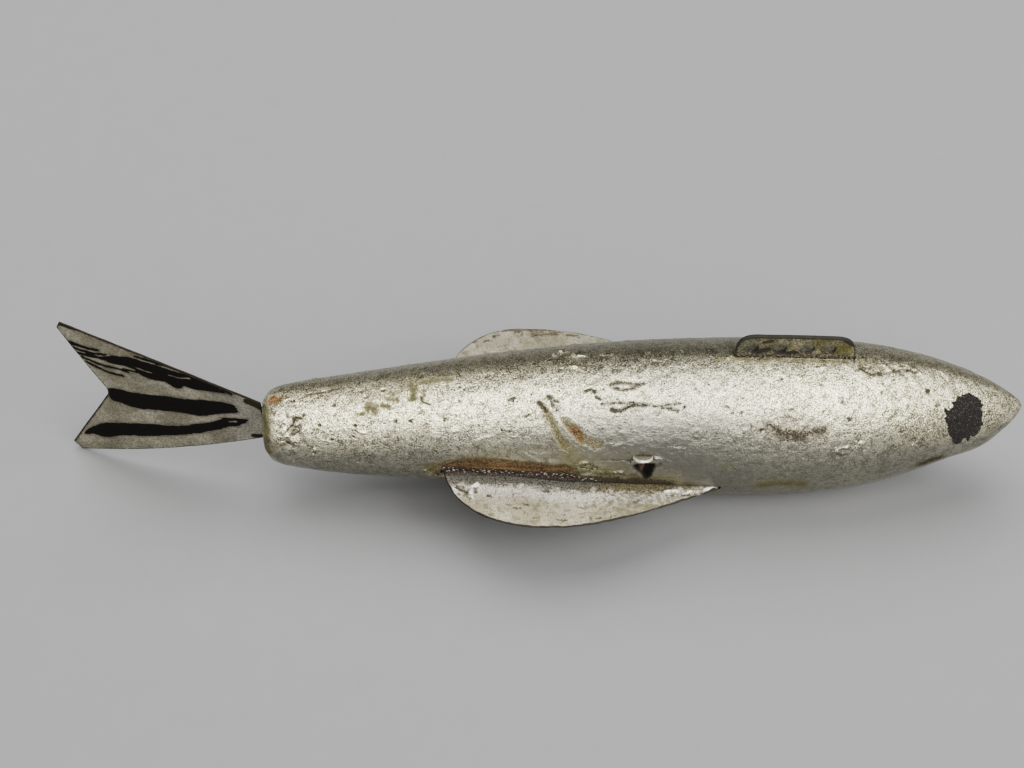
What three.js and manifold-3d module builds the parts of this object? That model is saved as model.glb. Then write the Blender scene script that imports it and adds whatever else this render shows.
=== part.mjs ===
// A fish decoy for spear fishing: a whittled wooden body painted silver, with a tail fin,
// two side fins and a drilled line tie of sheet metal set in sawn slots.
// Millimetres. X runs from the tail to the nose, Y to the fish's left side, Z up.
// Inside the fish, lengths are counted from the sawn tail end and heights from its long axis.

import * as THREE from 'three';
import { mergeVertices } from 'three/addons/utils/BufferGeometryUtils.js';
import Module from 'manifold-3d';

const wasm = await Module();
wasm.setup();

// Room left between a piece and the slot or hole that it sits in
const slotGap = 0.3;
// How far a cutting shape runs past what it cuts
const cutMargin = 1;

// Wooden body
const bodyLength = 140.3;
const bodyDepth = 35.2;
const bodyWidth = 25.4;
const backRidge = 1.7;          // exponent of the upper section: 2 is round, 1 a sharp ridge
const bellyFlatDepth = 1.1;    // how much is planed off the belly, so that the fish stands

// Tail fin: one sheet, bent to the fish's left behind the body
const tailThickness = 0.45;
const tailLength = 38.6;
const tailTop = 17.1;
const tailRootTop = 5.6;
const tailRootBottom = 4.1;
const tailUpperShort = 3.3;     // how much shorter the upper lobe is than the lower
const tailUpperBow = [0.4, 0.8];    // how its edge bows, as shares of the length and of the top
const tailLowerBow = [0.46, 0.66];  // the same for the lower edge, down to the ground
const tailForkDepth = 10;
const tailForkHeight = 1.7;
const tailForkRound = 1.6;
const tailTipBlunt = 1.5;
const tailFoot = 1.2;           // the short flat on which the lower tip rests
const tailTang = 7;
const tailTangHeight = 8;
const tailTangCentre = 0.4;
const tailLean = 0.14;          // slope of the sheet where it leaves the body
const tailBend = 4.5;           // how much further left the bend carries the rear edge
const tailTopBend = 1.3;        // and how much further still at the top corner

// Side fins: two flat sheets in kerfs sawn low along the sides
const finThickness = 0.45;
const finRear = 32.2;
const finLength = 50.4;
const finSpan = 44.2;           // over both fins
const finTang = 3.6;
const finRise = THREE.MathUtils.degToRad(11);
const finFall = 0.042;          // how much lower a fin lies for each millimetre forward
const rightKerfDrop = 4.4;
const leftKerfDrop = 1.5;
const finEndBreadth = 1.4;
const finWidest = 0.33;         // where a fin is broadest, as a share of its length
const finHeelBow = [0.02, 0.6];     // how the rear edge bows, as shares of length and breadth
const finFrontBow = [0.72, 0.63];   // the same for the front edge
const finCrown = 0.27;          // share of the length that stays broad in front of the widest
const kerfWearLength = 26;
const kerfWearHeight = 5.4;
const kerfWearDepth = 0.9;
const kerfWearAhead = -1.5;     // where the wear starts, forward of the fin's rear end

// Line tie: a drilled plate in a kerf along the back
const tieThickness = 0.8;
const tieRear = 84.1;
const tieLength = 21.4;
const tieRise = 4.8;
const tieTang = 5;
const tieRearCorner = 3.6;
const tieFrontCorner = 4;
const tieHoleDiameter = 2.5;
const tieHoleRise = 1.8;
const tieHoleShares = [0.12, 0.36, 0.59, 0.77];

// Nail through the right kerf
const nailAlong = 67.9;
const nailHeight = 3.3;
const nailHeadDiameter = 3.7;
const nailHeadThickness = 0.5;
const nailShankDiameter = 1.2;
const nailLength = 11;
const nailLean = THREE.MathUtils.degToRad(12);
const nailNotchWidth = 2.6;
const nailNotchHeight = 4.6;

// Fineness of the facets
const sectionFacets = 40;
const ringsPerStation = 3;
const curveFacets = 10;
const roundFacets = 16;
const sheetSteps = 16;
const sheetLevels = 8;

const halfDepth = bodyDepth / 2;
const halfWidth = bodyWidth / 2;

// The body's course, as shares: along the length, half depth, and lift of the section's centre
const stations = [
  [0, 0.33, -0.035],
  [0.012, 0.46, -0.035],
  [0.045, 0.54, -0.035],
  [0.115, 0.635, -0.035],
  [0.226, 0.745, 0.006],
  [0.357, 0.858, 0.032],
  [0.477, 0.945, 0.028],
  [0.598, 1, -0.012],
  [0.698, 0.985, -0.032],
  [0.779, 0.92, -0.026],
  [0.849, 0.765, 0],
  [0.9, 0.605, 0.012],
  [0.945, 0.45, -0.012],
  [0.975, 0.26, 0.023],
  [0.992, 0.12, 0.058],
  [1, 0, 0.081],
].map(([along, deep, lift]) => new THREE.Vector3(along, deep, lift));
const bodyCourse = new THREE.CatmullRomCurve3(stations, false, 'catmullrom', 0.5);
const courseRings = bodyCourse.getPoints((stations.length - 1) * ringsPerStation);

// Half depth, half width and centre height of the section at a length along the body
function sectionAt(along) {
  const share = THREE.MathUtils.clamp(along / bodyLength, 0, 1);
  const last = courseRings.findIndex((ring) => ring.x >= share);
  const upper = courseRings[Math.max(last, 1)];
  const lower = courseRings[Math.max(last, 1) - 1];
  const part = (share - lower.x) / (upper.x - lower.x);
  const ring = lower.clone().lerp(upper, part);
  return { depth: ring.y * halfDepth, width: ring.y * halfWidth, lift: ring.z * halfDepth };
}

function backAt(along) {
  const { depth, lift } = sectionAt(along);
  return lift + depth;
}

// Distance from the middle plane to the body's side, at a length and a height
function sideAt(along, height) {
  const { depth, width, lift } = sectionAt(along);
  const level = Math.min(Math.abs(height - lift) / depth, 1);
  const exponent = height > lift ? backRidge : 2;
  return width * (1 - level ** 2) ** (1 / exponent);
}

const bellyReach = Math.max(...courseRings.map((ring) => (ring.y - ring.z) * halfDepth));
const axisHeight = bellyReach - bellyFlatDepth;

// A closed, merged copy of a geometry as a solid that can be cut and joined
function solidOf(geometry) {
  const bare = geometry.clone();
  bare.deleteAttribute('normal');
  bare.deleteAttribute('uv');
  const merged = mergeVertices(bare);
  return new wasm.Manifold(new wasm.Mesh({
    numProp: 3,
    vertProperties: merged.attributes.position.array,
    triVerts: Uint32Array.from(merged.index.array),
  }));
}

function geometryOf(solid) {
  const { vertProperties, triVerts } = solid.getMesh();
  const geometry = new THREE.BufferGeometry();
  geometry.setAttribute('position', new THREE.BufferAttribute(vertProperties, 3));
  geometry.setIndex(new THREE.BufferAttribute(triVerts, 1));
  geometry.computeVertexNormals();
  return geometry;
}

// A box between two corners
function block(low, high) {
  const size = new THREE.Vector3().subVectors(high, low);
  const centre = new THREE.Vector3().addVectors(low, high).multiplyScalar(0.5);
  return new THREE.BoxGeometry(size.x, size.y, size.z).translate(centre.x, centre.y, centre.z);
}

// Rounds an outline's corner: a curve that starts and ends at a reach from the corner
function roundCorner(outline, corner, next, reach) {
  const before = outline.currentPoint.clone();
  const start = corner.clone().lerp(before, reach / corner.distanceTo(before));
  const end = corner.clone().lerp(next, reach / corner.distanceTo(next));
  outline.lineTo(start.x, start.y);
  outline.quadraticCurveTo(corner.x, corner.y, end.x, end.y);
}

// A plate whose outline is drawn in X and Z, centred on the middle plane
function uprightPlate(outline, thickness) {
  const flat = new THREE.ExtrudeGeometry(outline, {
    depth: thickness,
    bevelEnabled: false,
    curveSegments: curveFacets,
  });
  return flat.rotateX(Math.PI / 2).translate(0, thickness / 2, 0);
}

// The whittled body: rings from the sawn end to the nose, each a rounded section that
// narrows to a ridge along the back
function bodyBlank() {
  const points = [];
  const faces = [];
  const rings = courseRings.slice(0, -1);
  const nose = courseRings[courseRings.length - 1];
  for (const ring of rings) {
    for (let step = 0; step < sectionFacets; step += 1) {
      const angle = (2 * Math.PI * step) / sectionFacets;
      const power = Math.sin(angle) > 0 ? 2 / backRidge : 1;
      const out = Math.sign(Math.cos(angle)) * Math.abs(Math.cos(angle)) ** power;
      const y = out * ring.y * halfWidth;
      const z = (ring.z + Math.sin(angle) * ring.y) * halfDepth;
      points.push(ring.x * bodyLength, y, z);
    }
  }
  const tailCentre = points.length / 3;
  points.push(0, 0, rings[0].z * halfDepth);
  const noseTip = tailCentre + 1;
  points.push(bodyLength, 0, nose.z * halfDepth);
  for (let step = 0; step < sectionFacets; step += 1) {
    const next = (step + 1) % sectionFacets;
    for (let ring = 0; ring < rings.length - 1; ring += 1) {
      const near = ring * sectionFacets;
      const far = near + sectionFacets;
      faces.push(near + step, near + next, far + step);
      faces.push(near + next, far + next, far + step);
    }
    const lastRing = (rings.length - 1) * sectionFacets;
    faces.push(tailCentre, next, step);
    faces.push(noseTip, lastRing + step, lastRing + next);
  }
  const geometry = new THREE.BufferGeometry();
  geometry.setAttribute('position', new THREE.Float32BufferAttribute(points, 3));
  geometry.setIndex(faces);
  return solidOf(geometry);
}

// How far to the left the tail sheet lies, at a distance behind the body and a height
function tailOffset(behind, height) {
  if (behind <= 0) return 0;
  const share = behind / tailLength;
  return tailLean * behind + tailBend * share ** 2 + tailTopBend * share * (height / tailTop);
}

// The bent sheet that the tail is cut from, larger than its outline all round
function bentSheet() {
  const front = tailTang + cutMargin;
  const rear = tailLength + cutMargin;
  const top = tailTop + cutMargin;
  const bottom = -axisHeight - cutMargin;
  const points = [];
  const faces = [];
  for (const side of [-1, 1]) {
    for (let step = 0; step <= sheetSteps; step += 1) {
      const behind = step === 0 ? -front : ((step - 1) / (sheetSteps - 1)) * rear;
      for (let level = 0; level <= sheetLevels; level += 1) {
        const height = bottom + ((top - bottom) * level) / sheetLevels;
        points.push(-behind, tailOffset(behind, height) + (side * tailThickness) / 2, height);
      }
    }
  }
  const row = sheetLevels + 1;
  const sheet = (sheetSteps + 1) * row;
  const quad = (a, b, c, d) => faces.push(a, c, b, a, d, c);
  for (let step = 0; step < sheetSteps; step += 1) {
    for (let level = 0; level < sheetLevels; level += 1) {
      const a = step * row + level;
      quad(a, a + row, a + row + 1, a + 1);
      quad(sheet + a, sheet + a + 1, sheet + a + row + 1, sheet + a + row);
    }
    const low = step * row;
    const high = low + sheetLevels;
    quad(low, sheet + low, sheet + low + row, low + row);
    quad(high, high + row, sheet + high + row, sheet + high);
  }
  for (let level = 0; level < sheetLevels; level += 1) {
    const last = sheetSteps * row + level;
    quad(level, level + 1, sheet + level + 1, sheet + level);
    quad(last, sheet + last, sheet + last + 1, last + 1);
  }
  const geometry = new THREE.BufferGeometry();
  geometry.setAttribute('position', new THREE.Float32BufferAttribute(points, 3));
  geometry.setIndex(faces);
  return solidOf(geometry);
}

// Tail outline seen from the side: a tang in the body, a lobe up and one down to the ground
function tailOutline() {
  const lobe = tailLength - tailUpperShort;
  const tangTop = tailTangCentre + tailTangHeight / 2;
  const tangBottom = tailTangCentre - tailTangHeight / 2;
  const [upperAlong, upperUp] = tailUpperBow;
  const [lowerAlong, lowerDown] = tailLowerBow;
  const fork = new THREE.Vector2(tailForkDepth - tailLength, tailForkHeight);
  const lowerTip = new THREE.Vector2(-tailLength, tailTipBlunt - axisHeight);
  const footFront = tailTipBlunt - tailLength;
  const outline = new THREE.Shape();
  outline.moveTo(tailTang, tangTop);
  outline.lineTo(-slotGap, tangTop);
  outline.lineTo(-slotGap, tailRootTop);
  outline.quadraticCurveTo(-upperAlong * tailLength, upperUp * tailTop, -lobe, tailTop);
  outline.lineTo(-lobe - tailTipBlunt / 2, tailTop - tailTipBlunt);
  roundCorner(outline, fork, lowerTip, tailForkRound);
  outline.lineTo(lowerTip.x, lowerTip.y);
  outline.lineTo(footFront - tailFoot, -axisHeight);
  outline.lineTo(footFront, -axisHeight);
  outline.quadraticCurveTo(
    -lowerAlong * tailLength, -lowerDown * axisHeight,
    -slotGap, -tailRootBottom,
  );
  outline.lineTo(-slotGap, tangBottom);
  outline.lineTo(tailTang, tangBottom);
  return outline;
}

function tailFin() {
  return solidOf(uprightPlate(tailOutline(), 2 * tailLength)).intersect(bentSheet());
}

function tailSlot() {
  const top = tailTangCentre + tailTangHeight / 2 + slotGap;
  const bottom = top - tailTangHeight - 2 * slotGap;
  const side = tailThickness / 2 + slotGap;
  return solidOf(block(
    new THREE.Vector3(-cutMargin, -side, bottom),
    new THREE.Vector3(tailTang + slotGap, side, top),
  ));
}

// Side fins. A fin is drawn flat, forward in X and outward in Y from its kerf line,
// then placed: side is 1 for the fish's left and -1 for its right.
function finSetting(side, drop) {
  const middle = finRear + finLength / 2;
  const out = sideAt(middle, -drop - (finFall * finLength) / 2);
  const placement = new THREE.Object3D();
  placement.position.set(finRear, side * out, -drop);
  placement.rotation.set(side * finRise, Math.atan(finFall), 0);
  placement.updateMatrix();
  return { side, placement, breadth: (finSpan / 2 - out) / Math.cos(finRise) };
}

function finOutline({ side, breadth }) {
  const reach = side * breadth;
  const widest = finWidest * finLength;
  const outline = new THREE.Shape();
  outline.moveTo(0, -side * finTang);
  outline.bezierCurveTo(
    finHeelBow[0] * finLength, finHeelBow[1] * reach,
    widest / 2, reach,
    widest, reach,
  );
  outline.bezierCurveTo(
    widest + finCrown * finLength, reach,
    finFrontBow[0] * finLength, finFrontBow[1] * reach,
    finLength, side * finEndBreadth,
  );
  outline.lineTo(finLength, -side * finTang);
  return outline;
}

function flatPlate(outline, thickness) {
  const plate = new THREE.ExtrudeGeometry(outline, {
    depth: thickness,
    bevelEnabled: false,
    curveSegments: curveFacets,
  });
  return plate.translate(0, 0, -thickness / 2);
}

// The kerf that a fin's tang sits in, as long as the fin and open to the side
function finKerf({ side, placement, breadth }) {
  const inner = -side * (finTang + slotGap);
  const outer = side * breadth;
  const height = finThickness / 2 + slotGap;
  const low = new THREE.Vector3(-slotGap, Math.min(inner, outer), -height);
  const high = new THREE.Vector3(finLength + slotGap, Math.max(inner, outer), height);
  return solidOf(block(low, high).applyMatrix4(placement.matrix));
}

// Wood worn away along the rear of the right kerf's upper edge
function kerfWear({ placement }) {
  const worn = new THREE.SphereGeometry(1, roundFacets, roundFacets / 2);
  worn.scale(kerfWearLength / 2, kerfWearDepth, kerfWearHeight / 2);
  worn.translate(kerfWearAhead + kerfWearLength / 2, 0, kerfWearHeight / 2 - slotGap);
  return solidOf(worn.applyMatrix4(placement.matrix));
}

// Nail: a flat head and a plain shank, upright until it is placed; room widens it all round
function nailBlank(room) {
  const head = nailHeadDiameter / 2 + room;
  const shank = nailShankDiameter / 2 + room;
  const profile = [
    new THREE.Vector2(0, -nailLength - room),
    new THREE.Vector2(shank, -nailLength - room),
    new THREE.Vector2(shank, -room),
    new THREE.Vector2(head, -room),
    new THREE.Vector2(head, nailHeadThickness + room),
    new THREE.Vector2(0, nailHeadThickness + room),
  ];
  const nail = new THREE.LatheGeometry(profile, roundFacets).rotateX(Math.PI / 2);
  return nail.applyMatrix4(nailPlacement().matrix);
}

function nailPlacement() {
  const placement = new THREE.Object3D();
  placement.position.set(nailAlong, -sideAt(nailAlong, nailHeight), nailHeight);
  placement.rotation.set(nailLean, 0, 0);
  placement.updateMatrix();
  return placement;
}

// The chip in the wood under the nail's head, down to the kerf
function nailNotch() {
  const notch = new THREE.SphereGeometry(1, roundFacets, roundFacets / 2);
  notch.scale(nailNotchWidth / 2, nailNotchWidth / 2, nailNotchHeight / 2);
  notch.translate(0, 0, -nailNotchHeight / 2);
  return solidOf(notch.applyMatrix4(nailPlacement().matrix));
}

// Line tie: outline seen from the side, with its tang down in the back
function tieOutline() {
  const front = tieRear + tieLength;
  const bottom = backAt(front) - tieTang;
  const rearTop = new THREE.Vector2(tieRear, backAt(tieRear) + tieRise);
  const frontTop = new THREE.Vector2(front, backAt(front) + tieRise);
  const outline = new THREE.Shape();
  outline.moveTo(tieRear, bottom);
  roundCorner(outline, rearTop, frontTop, tieRearCorner);
  roundCorner(outline, frontTop, new THREE.Vector2(front, bottom), tieFrontCorner);
  outline.lineTo(front, bottom);
  return outline;
}

function lineTie() {
  const drill = tieHoleDiameter / 2;
  const holes = tieHoleShares.map((share) => {
    const along = tieRear + share * tieLength;
    const height = backAt(along) + tieHoleRise;
    const hole = new THREE.CylinderGeometry(drill, drill, 2 * tieThickness, roundFacets);
    return solidOf(hole.translate(along, 0, height));
  });
  return holes.reduce(
    (plate, hole) => plate.subtract(hole),
    solidOf(uprightPlate(tieOutline(), tieThickness)),
  );
}

function tieKerf() {
  const front = tieRear + tieLength;
  const side = tieThickness / 2 + slotGap;
  return solidOf(block(
    new THREE.Vector3(tieRear - slotGap, -side, backAt(front) - tieTang - slotGap),
    new THREE.Vector3(front + slotGap, side, halfDepth + tieRise),
  ));
}

function planedBelly() {
  return solidOf(block(
    new THREE.Vector3(0, -bodyWidth, -bodyDepth),
    new THREE.Vector3(bodyLength, bodyWidth, -axisHeight),
  ));
}

const rightFin = finSetting(-1, rightKerfDrop);
const leftFin = finSetting(1, leftKerfDrop);

function carvedBody() {
  return bodyBlank()
    .subtract(planedBelly())
    .subtract(tailSlot())
    .subtract(finKerf(rightFin))
    .subtract(finKerf(leftFin))
    .subtract(kerfWear(rightFin))
    .subtract(solidOf(nailBlank(slotGap)))
    .subtract(nailNotch())
    .subtract(tieKerf());
}

// The right fin, pierced by the nail, still in its own flat frame
function piercedFin(setting) {
  const fin = solidOf(flatPlate(finOutline(setting), finThickness));
  const toFin = setting.placement.matrix.clone().invert();
  return fin.subtract(solidOf(nailBlank(slotGap).applyMatrix4(toFin)));
}

const silverPaint = new THREE.MeshStandardMaterial({ color: 0xb8b4a8, roughness: 0.42, metalness: 0.55 });
const finPaint = new THREE.MeshStandardMaterial({ color: 0xc4bda8, roughness: 0.5, metalness: 0.45 });
const tailMetal = new THREE.MeshStandardMaterial({ color: 0x7e7b6c, roughness: 0.45, metalness: 0.7 });
const tieMetal = new THREE.MeshStandardMaterial({ color: 0x5f5d4e, roughness: 0.5, metalness: 0.8 });
const nailMetal = new THREE.MeshStandardMaterial({ color: 0x8f8770, roughness: 0.6, metalness: 0.7 });

function piece(name, geometry, material) {
  const mesh = new THREE.Mesh(geometry, material);
  mesh.name = name;
  return mesh;
}

function placed(mesh, { placement }) {
  mesh.position.copy(placement.position);
  mesh.rotation.copy(placement.rotation);
  return mesh;
}

// The fish, moved so that the origin is on the ground below the middle of its overall length
const fish = new THREE.Group();
fish.position.set((tailLength - bodyLength) / 2, 0, axisHeight);
fish.add(
  piece('body', geometryOf(carvedBody()), silverPaint),
  piece('tail_fin', geometryOf(tailFin()), tailMetal),
  placed(piece('right_side_fin', geometryOf(piercedFin(rightFin)), finPaint), rightFin),
  placed(piece('left_side_fin', flatPlate(finOutline(leftFin), finThickness), finPaint), leftFin),
  piece('line_tie', geometryOf(lineTie()), tieMetal),
  piece('fin_nail', nailBlank(0), nailMetal),
);

const fishDecoy = new THREE.Group();
fishDecoy.add(fish);
export default fishDecoy;
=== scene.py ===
# A worn fish decoy: a whittled body in silver paint, sheet-metal fins and a drilled line tie.
# Sizes are millimetres until a mesh is made. Inside the fish, along is counted from the sawn
# tail end, height from the long axis, and girth round the skin from the crest of the back,
# to the fish's right first. The frame's boxes place the whole.
import bmesh
import bpy
import numpy as np
from mathutils import Matrix, Vector


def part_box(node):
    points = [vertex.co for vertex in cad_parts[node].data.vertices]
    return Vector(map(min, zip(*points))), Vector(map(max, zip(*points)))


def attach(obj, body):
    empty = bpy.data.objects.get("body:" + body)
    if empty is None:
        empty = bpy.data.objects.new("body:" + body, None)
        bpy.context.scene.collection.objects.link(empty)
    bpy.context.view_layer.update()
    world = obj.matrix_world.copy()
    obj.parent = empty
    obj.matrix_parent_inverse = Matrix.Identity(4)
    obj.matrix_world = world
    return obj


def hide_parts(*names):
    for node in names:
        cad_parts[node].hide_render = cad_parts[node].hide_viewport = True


mm = 0.001
farOutside = -9.0   # the depth inside an outline that stands for nowhere near it
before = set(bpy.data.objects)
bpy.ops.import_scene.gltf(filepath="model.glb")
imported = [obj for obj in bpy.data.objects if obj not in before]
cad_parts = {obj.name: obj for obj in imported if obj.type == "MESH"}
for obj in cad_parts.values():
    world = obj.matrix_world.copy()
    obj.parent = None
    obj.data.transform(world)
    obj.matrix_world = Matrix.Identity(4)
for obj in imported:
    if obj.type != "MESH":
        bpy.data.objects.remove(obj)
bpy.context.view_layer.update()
bodyLow, bodyHigh = (np.array(corner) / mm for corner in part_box("body"))
print("frame loaded")


# Shared shape functions

def valueNoise(points, size, seed):
    # random numbers on a lattice of cells of that size, blended between the eight corners
    # of a cell by a smooth step; between -1 and 1
    table = np.random.default_rng(seed).random((32, 32, 32)) * 2 - 1
    scaled = np.asarray(points) / size
    cell = np.floor(scaled).astype(int)
    part = scaled - cell
    part = part * part * (3 - 2 * part)
    total = np.zeros(scaled.shape[:-1])
    for corner in np.ndindex(2, 2, 2):
        weight = np.prod(np.where(np.array(corner), part, 1 - part), axis=-1)
        index = (cell + np.array(corner)) % 32
        total += weight * table[index[..., 0], index[..., 1], index[..., 2]]
    return total


def roughness(points, size, seed, octaves=3):
    # value noise added up, each octave at half the size and half the strength
    return sum(valueNoise(points, size / 2 ** k, seed + k) / 2 ** k for k in range(octaves))


def smooth(value, low, high):
    # 0 below low, 1 above high, and a smooth step between
    share = np.clip((value - low) / (high - low), 0, 1)
    return share * share * (3 - 2 * share)


def bell(value, middle, reach, power=2):
    # e to the minus power of the distance from the middle, counted in reaches: 1 at the middle
    return np.exp(-((value - middle) / reach) ** power)


def lineAt(line, along):
    # height at a length of a line through points of (length, height)
    return np.interp(along, *np.transpose(line))


def lifted(flat, level):
    # flat places with one third measure for all, as the noises need them
    return np.concatenate([flat, np.full((*flat.shape[:-1], 1), float(level))], -1)


def pathDistance(places, path):
    # shortest distance from each place to the straight pieces of a path
    best = np.full(places.shape[:-1], np.inf)
    points = np.array(path, float)
    for start, end in zip(points[:-1], points[1:]):
        run = end - start
        share = np.clip(((places - start) @ run) / (run @ run), 0, 1)
        best = np.minimum(best, np.linalg.norm(places - start - share[..., None] * run, axis=-1))
    return best


def outlineDepth(places, outline):
    # distance to a closed outline, positive inside it: a place is inside where a level line
    # from it crosses the outline an odd number of times
    closed = np.array([*outline, outline[0]], float)
    inside = np.zeros(places.shape[:-1], bool)
    x, y = places[..., 0], places[..., 1]
    for (ax, ay), (bx, by) in zip(closed[:-1], closed[1:]):
        crosses = (ay > y) != (by > y)
        inside ^= crosses & (x < (bx - ax) * (y - ay) / (by - ay + 1e-12) + ax)
    return pathDistance(places, closed) * np.where(inside, 1, -1)


def insideAny(places, outlines):
    # how far inside the nearest of several outlines each place lies
    return np.maximum.reduce([outlineDepth(places, outline) for outline in outlines])


def mound(places, path, reach, height, power=2):
    # a height that falls off from a path as a bell of the distance
    return height * bell(pathDistance(places, path), 0, reach, power)


def patchStrength(places, patches):
    # the strongest of several mounds
    return np.maximum.reduce([mound(places, *patch) for patch in patches])


def strokeDepth(places, strokes):
    # how far inside the nearest of several strokes of given half width each place lies
    depths = [half - pathDistance(places, path) for path, half in strokes]
    return np.maximum(farOutside, np.maximum.reduce(depths))


def splineThrough(points, steps, closed=False):
    # a Catmull-Rom curve: each span is a cubic whose end slopes are half the chord between
    # the neighbours, and the ends of an open one are carried on straight
    points = np.array(points, float)
    if closed:
        padded = np.vstack([points[-1], points, points[:2]])
    else:
        padded = np.vstack([2 * points[0] - points[1], points, 2 * points[-1] - points[-2]])
    a, b, c, d = (padded[k:len(padded) - 3 + k, None] for k in range(4))
    t = (np.arange(steps) / steps)[None, :, None]
    startSlope, endSlope = (c - a) / 2, (d - b) / 2
    spans = (
        b + startSlope * t
        + (3 * (c - b) - 2 * startSlope - endSlope) * t ** 2
        + (2 * (b - c) + startSlope + endSlope) * t ** 3
    )
    curve = spans.reshape(-1, points.shape[1])
    return curve if closed else np.vstack([curve, points[-1]])


def bezier(controls, count):
    # a Bezier curve by repeated straight blends of its control points
    share = np.linspace(0, 1, count)[:, None, None]
    level = np.array(controls, float)[None]
    while level.shape[1] > 1:
        level = level[:, :-1] * (1 - share) + level[:, 1:] * share
    return level[:, 0]


def evenly(line, count):
    # points at even distances along a line of points
    steps = np.linalg.norm(np.diff(line, axis=0), axis=1)
    run = np.concatenate([[0], np.cumsum(steps)])
    wanted = np.linspace(0, run[-1], count)
    return np.stack([np.interp(wanted, run, line[:, k]) for k in range(line.shape[1])], -1)


def gridFaces(rows, columns, around=False):
    # four-sided faces between neighbouring rows and columns of points numbered row by row
    row, column = np.meshgrid(np.arange(rows - 1), np.arange(columns - (not around)), indexing="ij")
    following = (column + 1) % columns
    near, far = row * columns, (row + 1) * columns
    quads = np.stack([near + column, near + following, far + following, far + column], -1)
    return quads.reshape(-1, 4).tolist()


def addObject(name, data):
    # puts an object with that data into the scene
    added = bpy.data.objects.new(name, data)
    bpy.context.scene.collection.objects.link(added)
    return added


def makePiece(name, points, faces, material, node, fields=None, sharpFrom=50):
    # puts points (millimetres, in the frame) and faces into a mesh, with one attribute for each
    # field, joins points that meet, turns the faces outwards and marks the sharp edges
    mesh = bpy.data.meshes.new(name)
    mesh.from_pydata((points * mm).tolist(), [], faces)
    for fieldName, values in (fields or {}).items():
        attribute = mesh.attributes.new(fieldName, "FLOAT", "POINT")
        attribute.data.foreach_set("value", np.asarray(values, np.float32).ravel())
    work = bmesh.new()
    work.from_mesh(mesh)
    bmesh.ops.remove_doubles(work, verts=work.verts, dist=0.0005 * mm)
    bmesh.ops.dissolve_degenerate(work, edges=work.edges, dist=0.0002 * mm)
    bmesh.ops.recalc_face_normals(work, faces=work.faces)
    if work.calc_volume(signed=True) < 0:
        bmesh.ops.reverse_faces(work, faces=work.faces)
    limit = float(np.radians(sharpFrom))
    for edge in work.edges:
        edge.smooth = len(edge.link_faces) == 2 and edge.calc_face_angle(0) < limit
    for face in work.faces:
        face.smooth = True
    work.to_mesh(mesh)
    work.free()
    mesh.materials.append(material)
    piece = addObject(name, mesh)
    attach(piece, "root")
    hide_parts(node)
    print(name, "has", len(mesh.polygons), "faces")


# Shared material steps

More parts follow.
